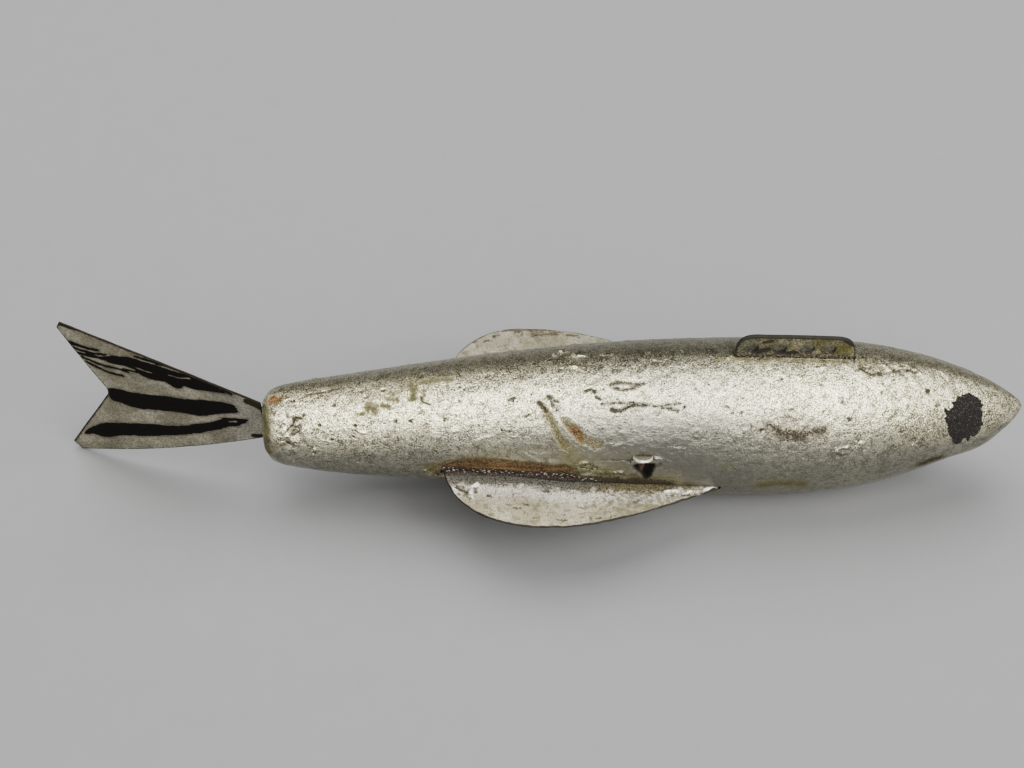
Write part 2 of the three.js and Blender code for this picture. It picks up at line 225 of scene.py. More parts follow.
class Look:
    # a material with one shiny surface, and short ways to add the nodes that feed it
    def __init__(self, name):
        self.material = bpy.data.materials.new(name)
        self.material.use_nodes = True
        self.tree = self.material.node_tree
        self.surface = self.tree.nodes["Principled BSDF"]
        self.place = self.tree.nodes.new("ShaderNodeTexCoord").outputs["Object"]

    def feed(self, socket, value):
        # links a socket to an output, or sets it; a colour gets an alpha of 1
        if isinstance(value, bpy.types.NodeSocket):
            self.tree.links.new(value, socket)
        elif socket.type == "RGBA":
            socket.default_value = (*value, 1)
        else:
            socket.default_value = value

    def node(self, kind, inputs, output=0, **settings):
        # adds a node: its settings first, because they decide which sockets it has
        node = self.tree.nodes.new("ShaderNode" + kind)
        for setting, value in settings.items():
            setattr(node, setting, value)
        for socket, value in inputs.items():
            self.feed(node.inputs[socket], value)
        return node.outputs[output]

    def field(self, name):
        # values that the mesh carries at its points
        return self.node("Attribute", {}, "Fac", attribute_name=name)

    def math(self, kind, *values):
        # one step of arithmetic on one or two values
        return self.node("Math", dict(enumerate(values)), operation=kind)

    def times(self, first, second):
        # the product of both
        return self.math("MULTIPLY", first, second)

    def plus(self, first, second, factor=None):
        # the first plus the second, or plus the second times a factor
        return self.math("ADD", first, self.times(second, factor) if factor else second)

    def most(self, first, *others):
        # the greatest of all the values
        for other in others:
            first = self.math("MAXIMUM", first, other)
        return first

    def noise(self, size, detail=3, stretch=None, distortion=0):
        # noise whose features are about size millimetres wide; stretch under 1 draws it out
        place = self.place
        if stretch:
            place = self.node("Mapping", {"Vector": place, "Scale": stretch})
        return self.node("TexNoise", {
            "Vector": place, "Scale": 1 / (size * mm), "Detail": detail, "Roughness": 0.6,
            "Distortion": distortion,
        }, "Fac")

    def spots(self, size):
        # distance to the nearest of scattered points, about size millimetres apart
        return self.node("TexVoronoi", {"Vector": self.place, "Scale": 1 / (size * mm)}, "Distance")

    def ramp(self, value, low, high, start=0.0, end=1.0):
        # a smooth step from start, at a low value, to end, at a high one
        limits = {"From Min": low, "From Max": high, "To Min": start, "To Max": end}
        return self.node("MapRange", {"Value": value, **limits}, "Result", interpolation_type="SMOOTHSTEP")

    def step(self, name, noise, amount, *limits):
        # a smooth step over a field that a noise shifts by up to the amount
        return self.ramp(self.plus(self.field(name), noise, amount), *limits)

    def ragged(self, name, noise, reach, softness):
        # 1 where a field that counts millimetres inward from an edge is above nought, with
        # the edge moved in and out by a noise
        return self.step(name, self.math("SUBTRACT", noise, 0.5), reach, -softness, softness)

    def mix(self, share, first, second):
        # the first colour times 1 less the share, and the second times the share
        return self.node("Mix", {"Factor": share, "A": first, "B": second}, "Result", data_type="RGBA")

    def blend(self, share, first, second):
        # the same for two numbers
        return self.node("Mix", {"Factor": share, "A": first, "B": second}, "Result")

    def tones(self, value, low, high, first, second):
        # the first colour at a low value, the second at a high one, and a smooth step between
        return self.mix(self.ramp(value, low, high), first, second)

    def finish(self, colour, metallic, roughness, reliefs=(), specular=0.5):
        # feeds the surface. Each relief, a height and the millimetres that 1 of it stands for,
        # lies over the one before
        layer = {}
        for height, distance in reliefs:
            inputs = {"Strength": 1, "Distance": distance * mm, "Height": height, **layer}
            layer = {"Normal": self.node("Bump", inputs, "Normal")}
        sockets = {"Base Color": colour, "Metallic": metallic, "Roughness": roughness, **layer}
        for socket, value in sockets.items():
            self.feed(self.surface.inputs[socket], value)
        self.surface.inputs["Specular IOR Level"].default_value = specular
        return self.material


# Whittled body

body = {
    "halfDepth": 17.6,
    "halfWidth": 12.7,
    "backRidge": 1.7,          # exponent of the upper section: 2 is round, 1 a sharp ridge
    "rings": 440,
    "columns": (104, 40, 48),   # crest to right kerf, right to left kerf, left kerf to crest
    # millimetres from a kerf's line, and from the crest, at which columns follow it
    "kerfBundle": (-0.62, -0.5, 0, 0.5, 0.62),
    "crestBundle": (0, 0.66, 0.78),
    # shares: along the length, half depth, lift of the section's centre
    "course": [
        (0, 0.33, -0.035), (0.012, 0.46, -0.035), (0.045, 0.54, -0.035), (0.115, 0.635, -0.035),
        (0.226, 0.745, 0.006), (0.357, 0.858, 0.032), (0.477, 0.945, 0.028), (0.598, 1, -0.012),
        (0.698, 0.985, -0.032), (0.779, 0.92, -0.026), (0.849, 0.765, 0), (0.9, 0.605, 0.012),
        (0.945, 0.45, -0.012), (0.975, 0.26, 0.023), (0.992, 0.12, 0.058), (1, 0, 0.081),
    ],
}
bodyLength = bodyHigh[0] - bodyLow[0]
course = splineThrough(body["course"], 40)
axisHeight = bodyHigh[2] - (course[:, 1] + course[:, 2]).max() * body["halfDepth"]
fishPlace = np.array([bodyLow[0], 0, axisHeight])


def sectionAt(along):
    # half depth, half width and centre height of the body at a length
    share = np.clip(np.asarray(along, float) / bodyLength, 0, 1)
    deep = np.interp(share, course[:, 0], course[:, 1])
    lift = np.interp(share, course[:, 0], course[:, 2])
    return deep * body["halfDepth"], deep * body["halfWidth"], lift * body["halfDepth"]


def backAt(along):
    # height of the crest: the section's centre and its half depth
    depth, _, lift = sectionAt(along)
    return lift + depth


def sideAt(along, height):
    # distance from the middle plane to the skin, at a length and a height
    depth, width, lift = sectionAt(along)
    level = np.clip(np.abs(height - lift) / np.maximum(depth, 1e-6), 0, 1)
    exponent = np.where(height > lift, body["backRidge"], 2)
    return width * (1 - level ** 2) ** (1 / exponent)


def skinPoint(along, angle):
    # a section in polar form: height is the sine times the half depth, and breadth the cosine
    # to a power times the half width, the power being higher above the centre
    depth, width, lift = sectionAt(along)
    sine, cosine = np.sin(angle), np.cos(angle)
    power = np.where(sine > 0, 2 / body["backRidge"], 1)
    breadth = np.sign(cosine) * np.abs(cosine) ** power
    return np.stack(np.broadcast_arrays(along, breadth * width, lift + sine * depth), -1)


# Side fins: where the flat sheets and their kerfs lie

fins = {
    "gap": 0.3,
    "thickness": 0.45,
    "rear": 32.2,
    "length": 50.4,
    "span": 44.2,
    "tang": 3.6,
    "rise": np.radians(11),
    "fall": np.arctan(0.042),
    "drops": {-1: 4.4, 1: 1.5},   # the kerf's rear end below the axis: the right side is -1
}


def finPoint(side, flat, height):
    # a flat place (forward, outward from the kerf line) carried into the fish: turned down
    # forward by the fall, up outward by the rise, and moved to the kerf's rear end
    forward, outward = flat[..., 0], flat[..., 1]
    x = forward * np.cos(fins["fall"]) + height * np.sin(fins["fall"])
    z = height * np.cos(fins["fall"]) - forward * np.sin(fins["fall"])
    up = outward * np.sin(fins["rise"]) + z * np.cos(fins["rise"])
    out = outward * np.cos(fins["rise"]) - z * np.sin(fins["rise"])
    return np.stack([
        fins["rear"] + x,
        side * (kerfOut[side] + out),
        up - fins["drops"][side],
    ], -1)


def kerfMouth(side, along):
    # height at which the fin's plane meets the skin: found by three rounds of correction
    sunk = -fins["drops"][side] - np.tan(fins["fall"]) * (along - fins["rear"])
    height = sunk
    for _ in range(3):
        height = sunk + (sideAt(along, height) - kerfOut[side]) * np.tan(fins["rise"])
    return height


finMiddle = fins["rear"] + fins["length"] / 2
kerfOut = {
    side: float(sideAt(finMiddle, -drop - np.tan(fins["fall"]) * fins["length"] / 2))
    for side, drop in fins["drops"].items()
}

# Line tie: where the drilled plate and its kerf lie

tie = {
    "thickness": 0.8,
    "rear": 84.1,
    "length": 21.4,
    "rise": 4.8,
    "tang": 5,
    "corners": (3.6, 4.0),
    "holeRadius": 1.25,
    "holeRise": 1.8,
    "holeShares": (0.12, 0.36, 0.59, 0.77),
    "holeBevel": 0.1,
    # stains and blotches: path of (forward, height over the back), reach, strength
    "stains": [([(14.0, 3.2), (15.2, 4.0)], 1.1, 0.9), ([(18.3, 1.6), (19.2, 2.6)], 1.7, 1.0)],
    "blotches": [
        ([(19.2, 4.6), (20.6, 3.6)], 0.8, 1.0), ([(3.4, 0.8), (5.6, 1.6)], 0.8, 0.9),
        ([(7.6, 0.5), (10.6, 0.7)], 0.8, 1.0), ([(4.6, 3.4), (6.0, 3.8)], 0.6, 0.7),
    ],
}
tieFront = tie["rear"] + tie["length"]
tieBottom = float(backAt(tieFront)) - tie["tang"]

# Marks on the skin, as places (along, girth)

marks = {
    "eye": [
        (124.8, 4.3), (125.3, 4.6), (125.9, 4.1), (126.5, 3.8), (127.4, 3.2), (128.2, 3.3), (129.1, 3.6),
        (130.0, 3.9), (130.6, 4.6), (130.1, 5.3), (130.5, 6.0), (130.4, 7.2), (130.8, 8.1), (130.7, 9.1),
        (130.3, 10.4), (129.7, 11.4), (128.9, 11.6), (128.9, 12.6), (128.5, 13.1), (127.9, 12.3),
        (127.4, 12.8), (127.2, 13.9), (126.5, 14.5), (125.4, 14.2), (125.0, 13.1), (124.1, 12.4),
        (123.6, 11.4), (123.2, 10.1), (122.7, 9.5), (122.8, 8.6), (122.3, 8.1), (122.5, 7.3),
        (123.1, 7.6), (123.9, 7.1), (124.1, 6.4), (123.8, 5.9), (124.7, 5.5), (124.9, 4.9),
    ],
    # outlines of scraped places: bare wood, and the olive coat under the silver
    "wood": [
        [
            (54.2, 11.8), (55.2, 11.7), (56.0, 12.4), (56.8, 13.6), (57.2, 14.9), (56.7, 15.7),
            (55.8, 14.8), (54.9, 13.4),
        ],
        [
            (1.0, 1.1), (1.1, 0.2), (2.0, -0.1), (2.9, 0.2), (3.9, 0.7), (4.2, 1.2), (3.8, 1.6),
            (2.9, 1.9), (1.7, 1.7),
        ],
    ],
    "olive": [
        [
            (49.6, 7.6), (50.2, 8.2), (51.5, 9.3), (52.1, 10.8), (52.4, 11.8), (53.1, 13.1), (54.1, 14.5),
            (54.8, 15.9), (54.1, 17.3), (53.2, 16.8), (52.6, 15.2), (51.9, 13.5), (51.3, 12.0),
            (50.6, 10.0), (50.0, 8.8),
        ],
        [
            (53.0, 10.4), (54.1, 10.4), (55.1, 11.4), (56.0, 12.0), (56.9, 13.2), (57.4, 14.1),
            (58.8, 14.9), (60.1, 15.3), (60.9, 16.1), (60.3, 17.0), (59.2, 17.4), (58.0, 16.2),
            (56.6, 15.9), (55.9, 15.1), (55.1, 13.9), (54.1, 12.6), (53.4, 11.6),
        ],
    ],
    # dark lines and cracks: path, half width
    "cracks": [
        ([(50.8, 6.3), (51.3, 6.6), (51.5, 7.4), (51.6, 8.2)], 0.22),
        ([(51.5, 7.1), (52.6, 7.4)], 0.16),
        ([(49.3, 7.3), (50.5, 8.9)], 0.3),
        ([(60.2, 8.5), (62.2, 8.4), (63.8, 8.5), (66.1, 8.6)], 0.13),
        ([(62.0, 9.6), (62.8, 9.9), (63.6, 10.0)], 0.34),
        ([(63.4, 10.1), (64.5, 9.5), (65.2, 9.2), (66.1, 8.9), (68.1, 9.2)], 0.22),
        ([(68.1, 9.2), (70.1, 9.4), (72.0, 9.2), (74.0, 9.0)], 0.12),
        ([(70.9, 9.7), (72.4, 9.9), (73.6, 10.5)], 0.16),
        ([(61.7, 5.1), (63.0, 4.6), (65.0, 4.9), (66.4, 5.3)], 0.16),
        ([(62.2, 5.7), (63.6, 6.1), (65.2, 6.1), (66.2, 5.6), (67.8, 5.1)], 0.15),
        ([(57.3, 6.0), (58.4, 5.7), (59.1, 6.2)], 0.24),
        ([(59.2, 7.1), (60.1, 7.6)], 0.18),
        ([(40.2, 1.7), (40.9, 1.2), (41.2, 2.4)], 0.15),
        ([(44.0, 6.3), (45.2, 6.0)], 0.16),
        ([(28.8, 5.0), (30.1, 5.6)], 0.13),
        ([(46.6, 9.6), (47.8, 9.3)], 0.12),
        ([(56.8, 21.6), (59.2, 22.4)], 0.13),
        ([(58.4, 25.2), (62.2, 25.2)], 0.12),
        ([(60.0, 19.7), (63.0, 20.2), (65.6, 20.3)], 0.08),
        ([(65.6, 20.6), (66.5, 19.8), (67.8, 19.4), (69.2, 19.6), (70.0, 20.2)], 0.34),
        ([(57.6, 21.2), (58.6, 20.7), (59.8, 22.1)], 0.2),
        ([(59.6, 24.4), (61.4, 23.6), (64.2, 24.6)], 0.2),
        ([(58.0, 24.6), (60.6, 23.8), (62.6, 25.0)], 0.13),
        ([(71.0, 20.6), (71.3, 21.6), (70.6, 22.4)], 0.2),
        ([(52.0, -0.9), (53.6, -2.0), (55.0, -2.6)], 0.2),
        ([(60.4, -0.5), (62.4, -0.4)], 0.14),
        ([(52.2, -3.6), (54.2, -3.6)], 0.14),
        ([(4.7, 7.0), (5.4, 6.3), (6.0, 5.4)], 0.14),
        ([(5.0, 8.0), (5.7, 7.3), (6.3, 7.0)], 0.16),
        ([(5.7, 8.2), (6.9, 7.4), (7.1, 6.5)], 0.15),
        ([(3.5, 7.8), (4.2, 7.6), (4.9, 6.7)], 0.13),
        ([(5.7, 6.4), (6.5, 6.8), (7.0, 6.4)], 0.17),
        ([(5.8, 5.2), (6.4, 5.0), (7.4, 5.3)], 0.2),
        ([(4.4, 9.6), (5.1, 10.2), (5.8, 9.8)], 0.26),
        ([(3.9, 5.0), (3.4, 6.4)], 0.1),
        ([(8.0, 1.1), (11.6, 0.9), (14.2, 0.6)], 0.1),
        ([(106.6, 2.7), (108.7, 3.4), (110.2, 2.8)], 0.2),
        ([(111.4, 2.8), (113.0, 2.1), (115.1, 1.6), (117.4, 1.8)], 0.12),
        ([(120.6, 21.7), (122.4, 20.4), (124.3, 19.2)], 0.55),
    ],
    # dirt in patches: path, reach, strength
    "rust": [
        ([(89.8, 13.4), (91.6, 14.2)], 1.5, 1.15),
        ([(92.8, 14.8), (95.6, 15.4)], 1.7, 1.25),
        ([(97.0, 14.6), (99.6, 13.9)], 1.3, 1.1),
        ([(92.0, 12.0), (98.6, 12.8)], 2.2, 0.45),
        ([(92.0, 10.8), (93.8, 11.6)], 0.6, 0.7),
        ([(120.6, 21.8), (122.2, 20.4), (124.4, 19.2)], 1.4, 1.5),
        ([(106.8, 2.6), (110.4, 3.2)], 1.0, 0.85),
        ([(112.4, 2.2), (116.6, 1.6)], 0.9, 0.75),
        ([(132.0, 11.7), (133.4, 9.5), (135.4, 7.0)], 1.2, 0.75),
        ([(0.6, 7.8), (1.8, 9.3), (3.4, 10.1)], 0.8, 1.0),
        ([(1.6, 10.4), (3.8, 10.1)], 0.7, 0.9),
        ([(103.0, 18.8), (104.0, 19.4)], 0.5, 1.2),
        ([(66.8, 26.4), (69.4, 27.4)], 1.5, 1.15),
        ([(60.0, 26.0), (66.0, 26.6), (73.0, 28.0)], 1.3, 0.85),
        ([(57.2, 26.4), (61.0, 27.0), (66.0, 27.6)], 0.9, 1.25),
        ([(67.0, 27.2), (72.0, 28.2)], 1.2, 1.1),
    ],
    "moss": [
        ([(17.2, 5.7), (18.5, 5.8)], 0.4, 1.3),
        ([(19.3, 4.9), (20.2, 5.2)], 1.3, 1.25),
        ([(21.7, 4.7), (22.8, 5.0)], 0.5, 1.3),
        ([(22.9, 3.7), (24.6, 4.1)], 0.7, 1.0),
        ([(26.9, 1.4), (27.4, 2.8), (27.2, 4.3)], 0.85, 1.35),
        ([(28.4, 1.4), (30.5, 1.4), (32.6, 1.3), (34.1, 1.6)], 0.5, 1.2),
        ([(29.0, 3.0), (29.2, 3.9)], 0.35, 1.2),
        ([(17.0, 2.8), (25.0, 2.4)], 1.6, 0.45),
        ([(120.2, 21.8), (122.2, 20.6), (124.4, 19.4)], 1.8, 1.2),
        ([(90.4, 28.6), (93.0, 27.6), (98.0, 28.4)], 1.8, 1.45),
        ([(82.4, 22.5), (83.8, 22.6)], 0.6, 0.9),
        ([(80.8, 1.5), (83.6, 1.2), (87.8, 1.7), (91.0, 1.3), (96.0, 1.2), (104.0, 1.2)], 0.6, 0.9),
        ([(106.4, 0.9), (109.0, 1.2), (110.6, 2.0)], 0.8, 0.8),
        ([(60.5, 28.6), (66.0, 27.2), (73.0, 28.4)], 2.7, 1.6),
        ([(64.6, 25.0), (67.0, 26.6), (71.0, 26.4)], 1.3, 1.2),
        ([(55.5, 16.6), (54.3, 18.6), (56.0, 21.0)], 1.3, 0.85),
        ([(57.0, 20.8), (60.0, 23.2), (63.5, 25.4)], 2.2, 1.05),
        ([(0.5, 2.4), (0.7, 5.0), (0.6, 8.0), (0.9, 11.5)], 1.1, 1.35),
        ([(0.4, -8.0), (0.4, -1.0)], 0.6, 0.7),
        ([(29.4, 18.8), (31.5, 18.6)], 1.3, 1.0),
        ([(50.2, 9.0), (52.0, 12.5), (54.0, 16.5)], 0.9, 0.8),
    ],
    # single holes in the paint: place, radius
    "pits": [
        ((119.2, 5.0), 0.5), ((18.2, 1.7), 0.26), ((22.0, 2.0), 0.32), ((18.9, 2.8), 0.26),
        ((24.0, 7.9), 0.4), ((26.7, 8.2), 0.32), ((32.9, 8.7), 0.38), ((35.3, 5.6), 0.26),
        ((35.4, 3.1), 0.32), ((16.8, 7.8), 0.3), ((7.7, 4.7), 0.3), ((10.4, 6.9), 0.3),
        ((5.9, 1.8), 0.3), ((13.2, 3.6), 0.26), ((10.2, 1.8), 0.24), ((9.2, 12.8), 0.4),
        ((55.2, -2.1), 0.55), ((69.7, 1.5), 0.42), ((74.8, 9.7), 0.26), ((93.8, 10.3), 0.3),
        ((84.8, 10.9), 0.34), ((104.4, 11.8), 0.4), ((86.8, 13.5), 0.28), ((110.2, 6.5), 0.24),
        ((76.6, 6.3), 0.24), ((81.0, 8.4), 0.22), ((99.0, 5.6), 0.22), ((12.6, 10.0), 0.3),
        ((106.6, 15.8), 0.3), ((88.6, 14.2), 0.3), ((63.4, 13.4), 0.22), ((44.2, 12.2), 0.24),
    ],
    # paint standing up in small curls and threads: path, half width, height
    "ridges": [
        ([(52.2, -1.6), (53.2, -2.5), (54.4, -3.0)], 0.28, 0.55),
        ([(55.6, -1.2), (56.4, -0.9), (57.8, -1.0)], 0.26, 0.45),
        ([(60.2, -1.3), (62.2, -1.0), (63.4, 0.1)], 0.18, 0.22),
        ([(54.5, 1.1), (56.1, 1.3), (56.9, 1.9)], 0.22, 0.22),
        ([(38.0, 13.6), (39.4, 12.9), (41.0, 12.7)], 0.17, 0.2),
        ([(57.3, 16.3), (63.8, 16.2), (66.0, 16.8)], 0.12, 0.08),
        ([(57.4, 17.6), (58.8, 19.7), (60.6, 22.0)], 0.13, 0.14),
        ([(51.6, 9.1), (53.0, 11.3), (54.2, 13.0), (55.8, 15.2)], 0.16, 0.12),
        ([(47.2, 17.4), (49.1, 19.3), (50.8, 20.2)], 0.2, 0.22),
        ([(48.2, 17.0), (49.6, 17.8)], 0.16, 0.16),
        ([(56.1, 20.8), (57.9, 19.9), (59.6, 21.5)], 0.2, 0.34),
        ([(57.4, 24.4), (60.5, 23.0), (63.0, 24.4)], 0.2, 0.34),
        ([(59.0, 22.9), (61.2, 21.9)], 0.2, 0.3),
        ([(62.6, 23.6), (64.8, 23.2)], 0.2, 0.32),
        ([(8.7, 12.1), (9.3, 11.5), (9.8, 11.9)], 0.26, 0.34),
        ([(92.6, 17.6), (93.4, 18.6), (95.6, 18.8)], 0.13, 0.14),
        ([(91.6, 23.8), (93.8, 22.8)], 0.13, 0.12),
        ([(99.8, 20.6), (101.4, 20.2)], 0.12, 0.1),
        ([(76.6, 14.3), (77.4, 13.9), (77.9, 14.6), (77.6, 15.4), (76.8, 15.3), (76.5, 14.6)], 0.15, 0.2),
        ([(102.7, 18.4), (103.4, 17.5), (104.7, 17.3)], 0.28, 0.26),
        ([(103.2, 19.9), (104.6, 19.6)], 0.18, 0.18),
        ([(105.8, 16.2), (107.6, 16.4), (107.0, 18.3)], 0.14, 0.12),
        ([(69.8, 19.8), (70.8, 19.9), (71.3, 21.0), (70.9, 22.2)], 0.26, 0.42),
        ([(65.5, 24.6), (66.6, 23.7)], 0.4, 0.25),
        ([(82.4, 1.0), (83.4, 0.7), (84.2, 1.2)], 0.34, 0.34),
        ([(84.8, 1.3), (88.0, 1.5), (92.0, 1.2)], 0.2, 0.16),
        ([(73.4, 17.6), (74.6, 17.9)], 0.14, 0.16),
        ([(71.8, 20.4), (73.2, 21.0)], 0.14, 0.14),
    ],
    # how far up the painted shade of the lower side reaches: forward, sine of the angle
    "darkFrom": [
        (0, 0.2), (18, 0.3), (28, 0.38), (50, 0.5), (66, 0.5), (92, 0.42), (112, 0.36), (126, 0.16),
        (139, 0.0),
    ],
    # the skin is darker on the far side of this line: painted shade, with some olive dirt
    "backLine": [
        (3.9, -0.9), (17.1, 1.2), (34.1, 1.4), (60, 0.2), (84, 0.4), (105.8, 0.6), (114.5, 1.6),
        (127.2, 1.5), (138.8, 0.6),
    ],
    # upper edge of the wood laid bare over the right kerf
    "wearLine": [
        (29.2, 24.0), (29.8, 19.6), (32.4, 18.3), (34.6, 17.9), (36.8, 17.6), (39.3, 17.7),
        (41.9, 18.4), (44.8, 19.1), (47.7, 19.8), (49.7, 20.4), (52.0, 21.2), (54.7, 21.2),
        (55.8, 21.9), (56.8, 23.6), (57.4, 27.0),
    ],
}
# heights and depths of the body's relief
carving = {
    "waves": 0.10, "roughness": 0.04, "grain": 0.02, "eye": 0.02, "pitRim": 0.05, "pit": 0.22,
    "crack": 0.13, "olive": 0.08, "wood": 0.07, "kerfWear": 0.55, "crumbs": 0.22, "hole": 0.12,
    "sawnEnd": 0.12,
}
# dirt between the worn wood and the nail: where it comes and goes, how far off the kerf and how
# wide it lies, and its strength
kerfBand = {"from": (54, 58), "until": (77, 72), "offset": 0.6, "reach": 1.8, "strength": 1.4}
nailPit = {
    "outline": [
        (66.4, 21.6), (70.1, 21.4), (70.1, 23.2), (69.8, 25.6), (69.3, 26.6), (68.6, 26.3), (68.1, 24.9),
        (67.2, 23.6),
    ],
    "depth": 1.8,
}
# small curls and pinholes strewn over the whole skin
strewn = {"seed": 12, "curls": 110, "holes": 70}
# places where the paint is crumpled: path, reach, depth
crumples = [
    ([(4.2, 5.4), (6.0, 7.8)], 2.4, 0.3),
    ([(3.6, 9.6), (6.0, 10.2)], 1.2, 0.2),
    ([(53.0, -1.6), (57.0, -1.0)], 1.3, 0.2),
    ([(50.0, 17.6), (51.2, 19.6)], 1.3, 0.16),
    ([(57.0, 20.9), (60.6, 23.4), (64.6, 25.4)], 2.0, 0.26),
    ([(50.4, 6.2), (52.6, 8.6)], 1.0, 0.2),
    ([(62.0, 5.2), (67.0, 5.4)], 1.0, 0.14),
    ([(62.6, 9.8), (66.0, 9.2), (73.0, 9.8)], 0.9, 0.12),
    ([(103.0, 18.6), (106.6, 17.4)], 1.6, 0.2),
    ([(106.6, 2.8), (112.0, 2.4), (117.0, 1.8)], 0.9, 0.2),
    ([(71.0, 20.6), (71.0, 22.4)], 0.9, 0.3),
    ([(19.0, 5.2), (27.0, 3.4)], 1.6, 0.1),
]


def bodyAngles(along):
    # the angles of the body's columns at each ring. Round a ring the columns are even between
    # three bundles that follow the crest and the two kerfs; a bundle's columns lie at fixed
    # distances from its line, so that a kerf's lips and floor can be cut from them
    steps = 720
    angles = np.linspace(0.5, 2.5, steps + 1) * np.pi
    sections = skinPoint(along[:, None], angles[None])
    chords = np.linalg.norm(np.diff(sections, axis=1), axis=-1)
    girths = np.concatenate([np.zeros((len(along), 1)), np.cumsum(chords, axis=1)], axis=1)
    around = girths[:, -1]
    shrink = smooth(around, 0, 60)
    held = np.clip(along, fins["rear"] - 1, fins["rear"] + fins["length"] + 1)
    kerfGirth = {}
    for side in (-1, 1):
        depth, _, lift = sectionAt(held)
        tilt = np.arcsin(np.clip((kerfMouth(side, held) - lift) / depth, -1, 1))
        angle = np.pi - tilt if side < 0 else 2 * np.pi + tilt
        step = (angle / np.pi - 0.5) / 2 * steps
        low = np.floor(step).astype(int)
        rows = np.arange(len(along))
        kerfGirth[side] = girths[rows, low] * (low + 1 - step) + girths[rows, low + 1] * (step - low)
    bundle = shrink[:, None] * np.array(body["kerfBundle"])
    crest = shrink[:, None] * np.array(body["crestBundle"])
    right = kerfGirth[-1][:, None] + bundle
    left = kerfGirth[1][:, None] + bundle
    closing = around[:, None] - crest[:, :0:-1]

    def between(start, end, count):
        # columns at even steps from the last of one bundle to the first of the next
        share = np.arange(1, count + 1) / (count + 1)
        return start[:, -1:] * (1 - share) + end[:, :1] * share

    firstCount, secondCount, thirdCount = body["columns"]
    wanted = np.concatenate([
        crest, between(crest, right, firstCount), right,
        between(right, left, secondCount), left, between(left, closing, thirdCount), closing,
    ], axis=1)
    placed = np.stack([np.interp(w, g, angles) for w, g in zip(wanted, girths)])
    folded = np.where(wanted > around[:, None] / 2, wanted - around[:, None], wanted)
    return placed, folded


def rowNormals(points):
    # directions square to a closed skin of rings: the cross product of the steps along and round
    alongStep = np.gradient(points, axis=0)
    roundStep = np.roll(points, -1, axis=1) - np.roll(points, 1, axis=1)
    normal = np.cross(roundStep, alongStep)
    normal /= np.linalg.norm(normal, axis=-1, keepdims=True) + 1e-9
    outward = (normal[..., 1:] * (points - points.mean(1, keepdims=True))[..., 1:]).sum(-1)
    return normal * np.sign(outward.mean())


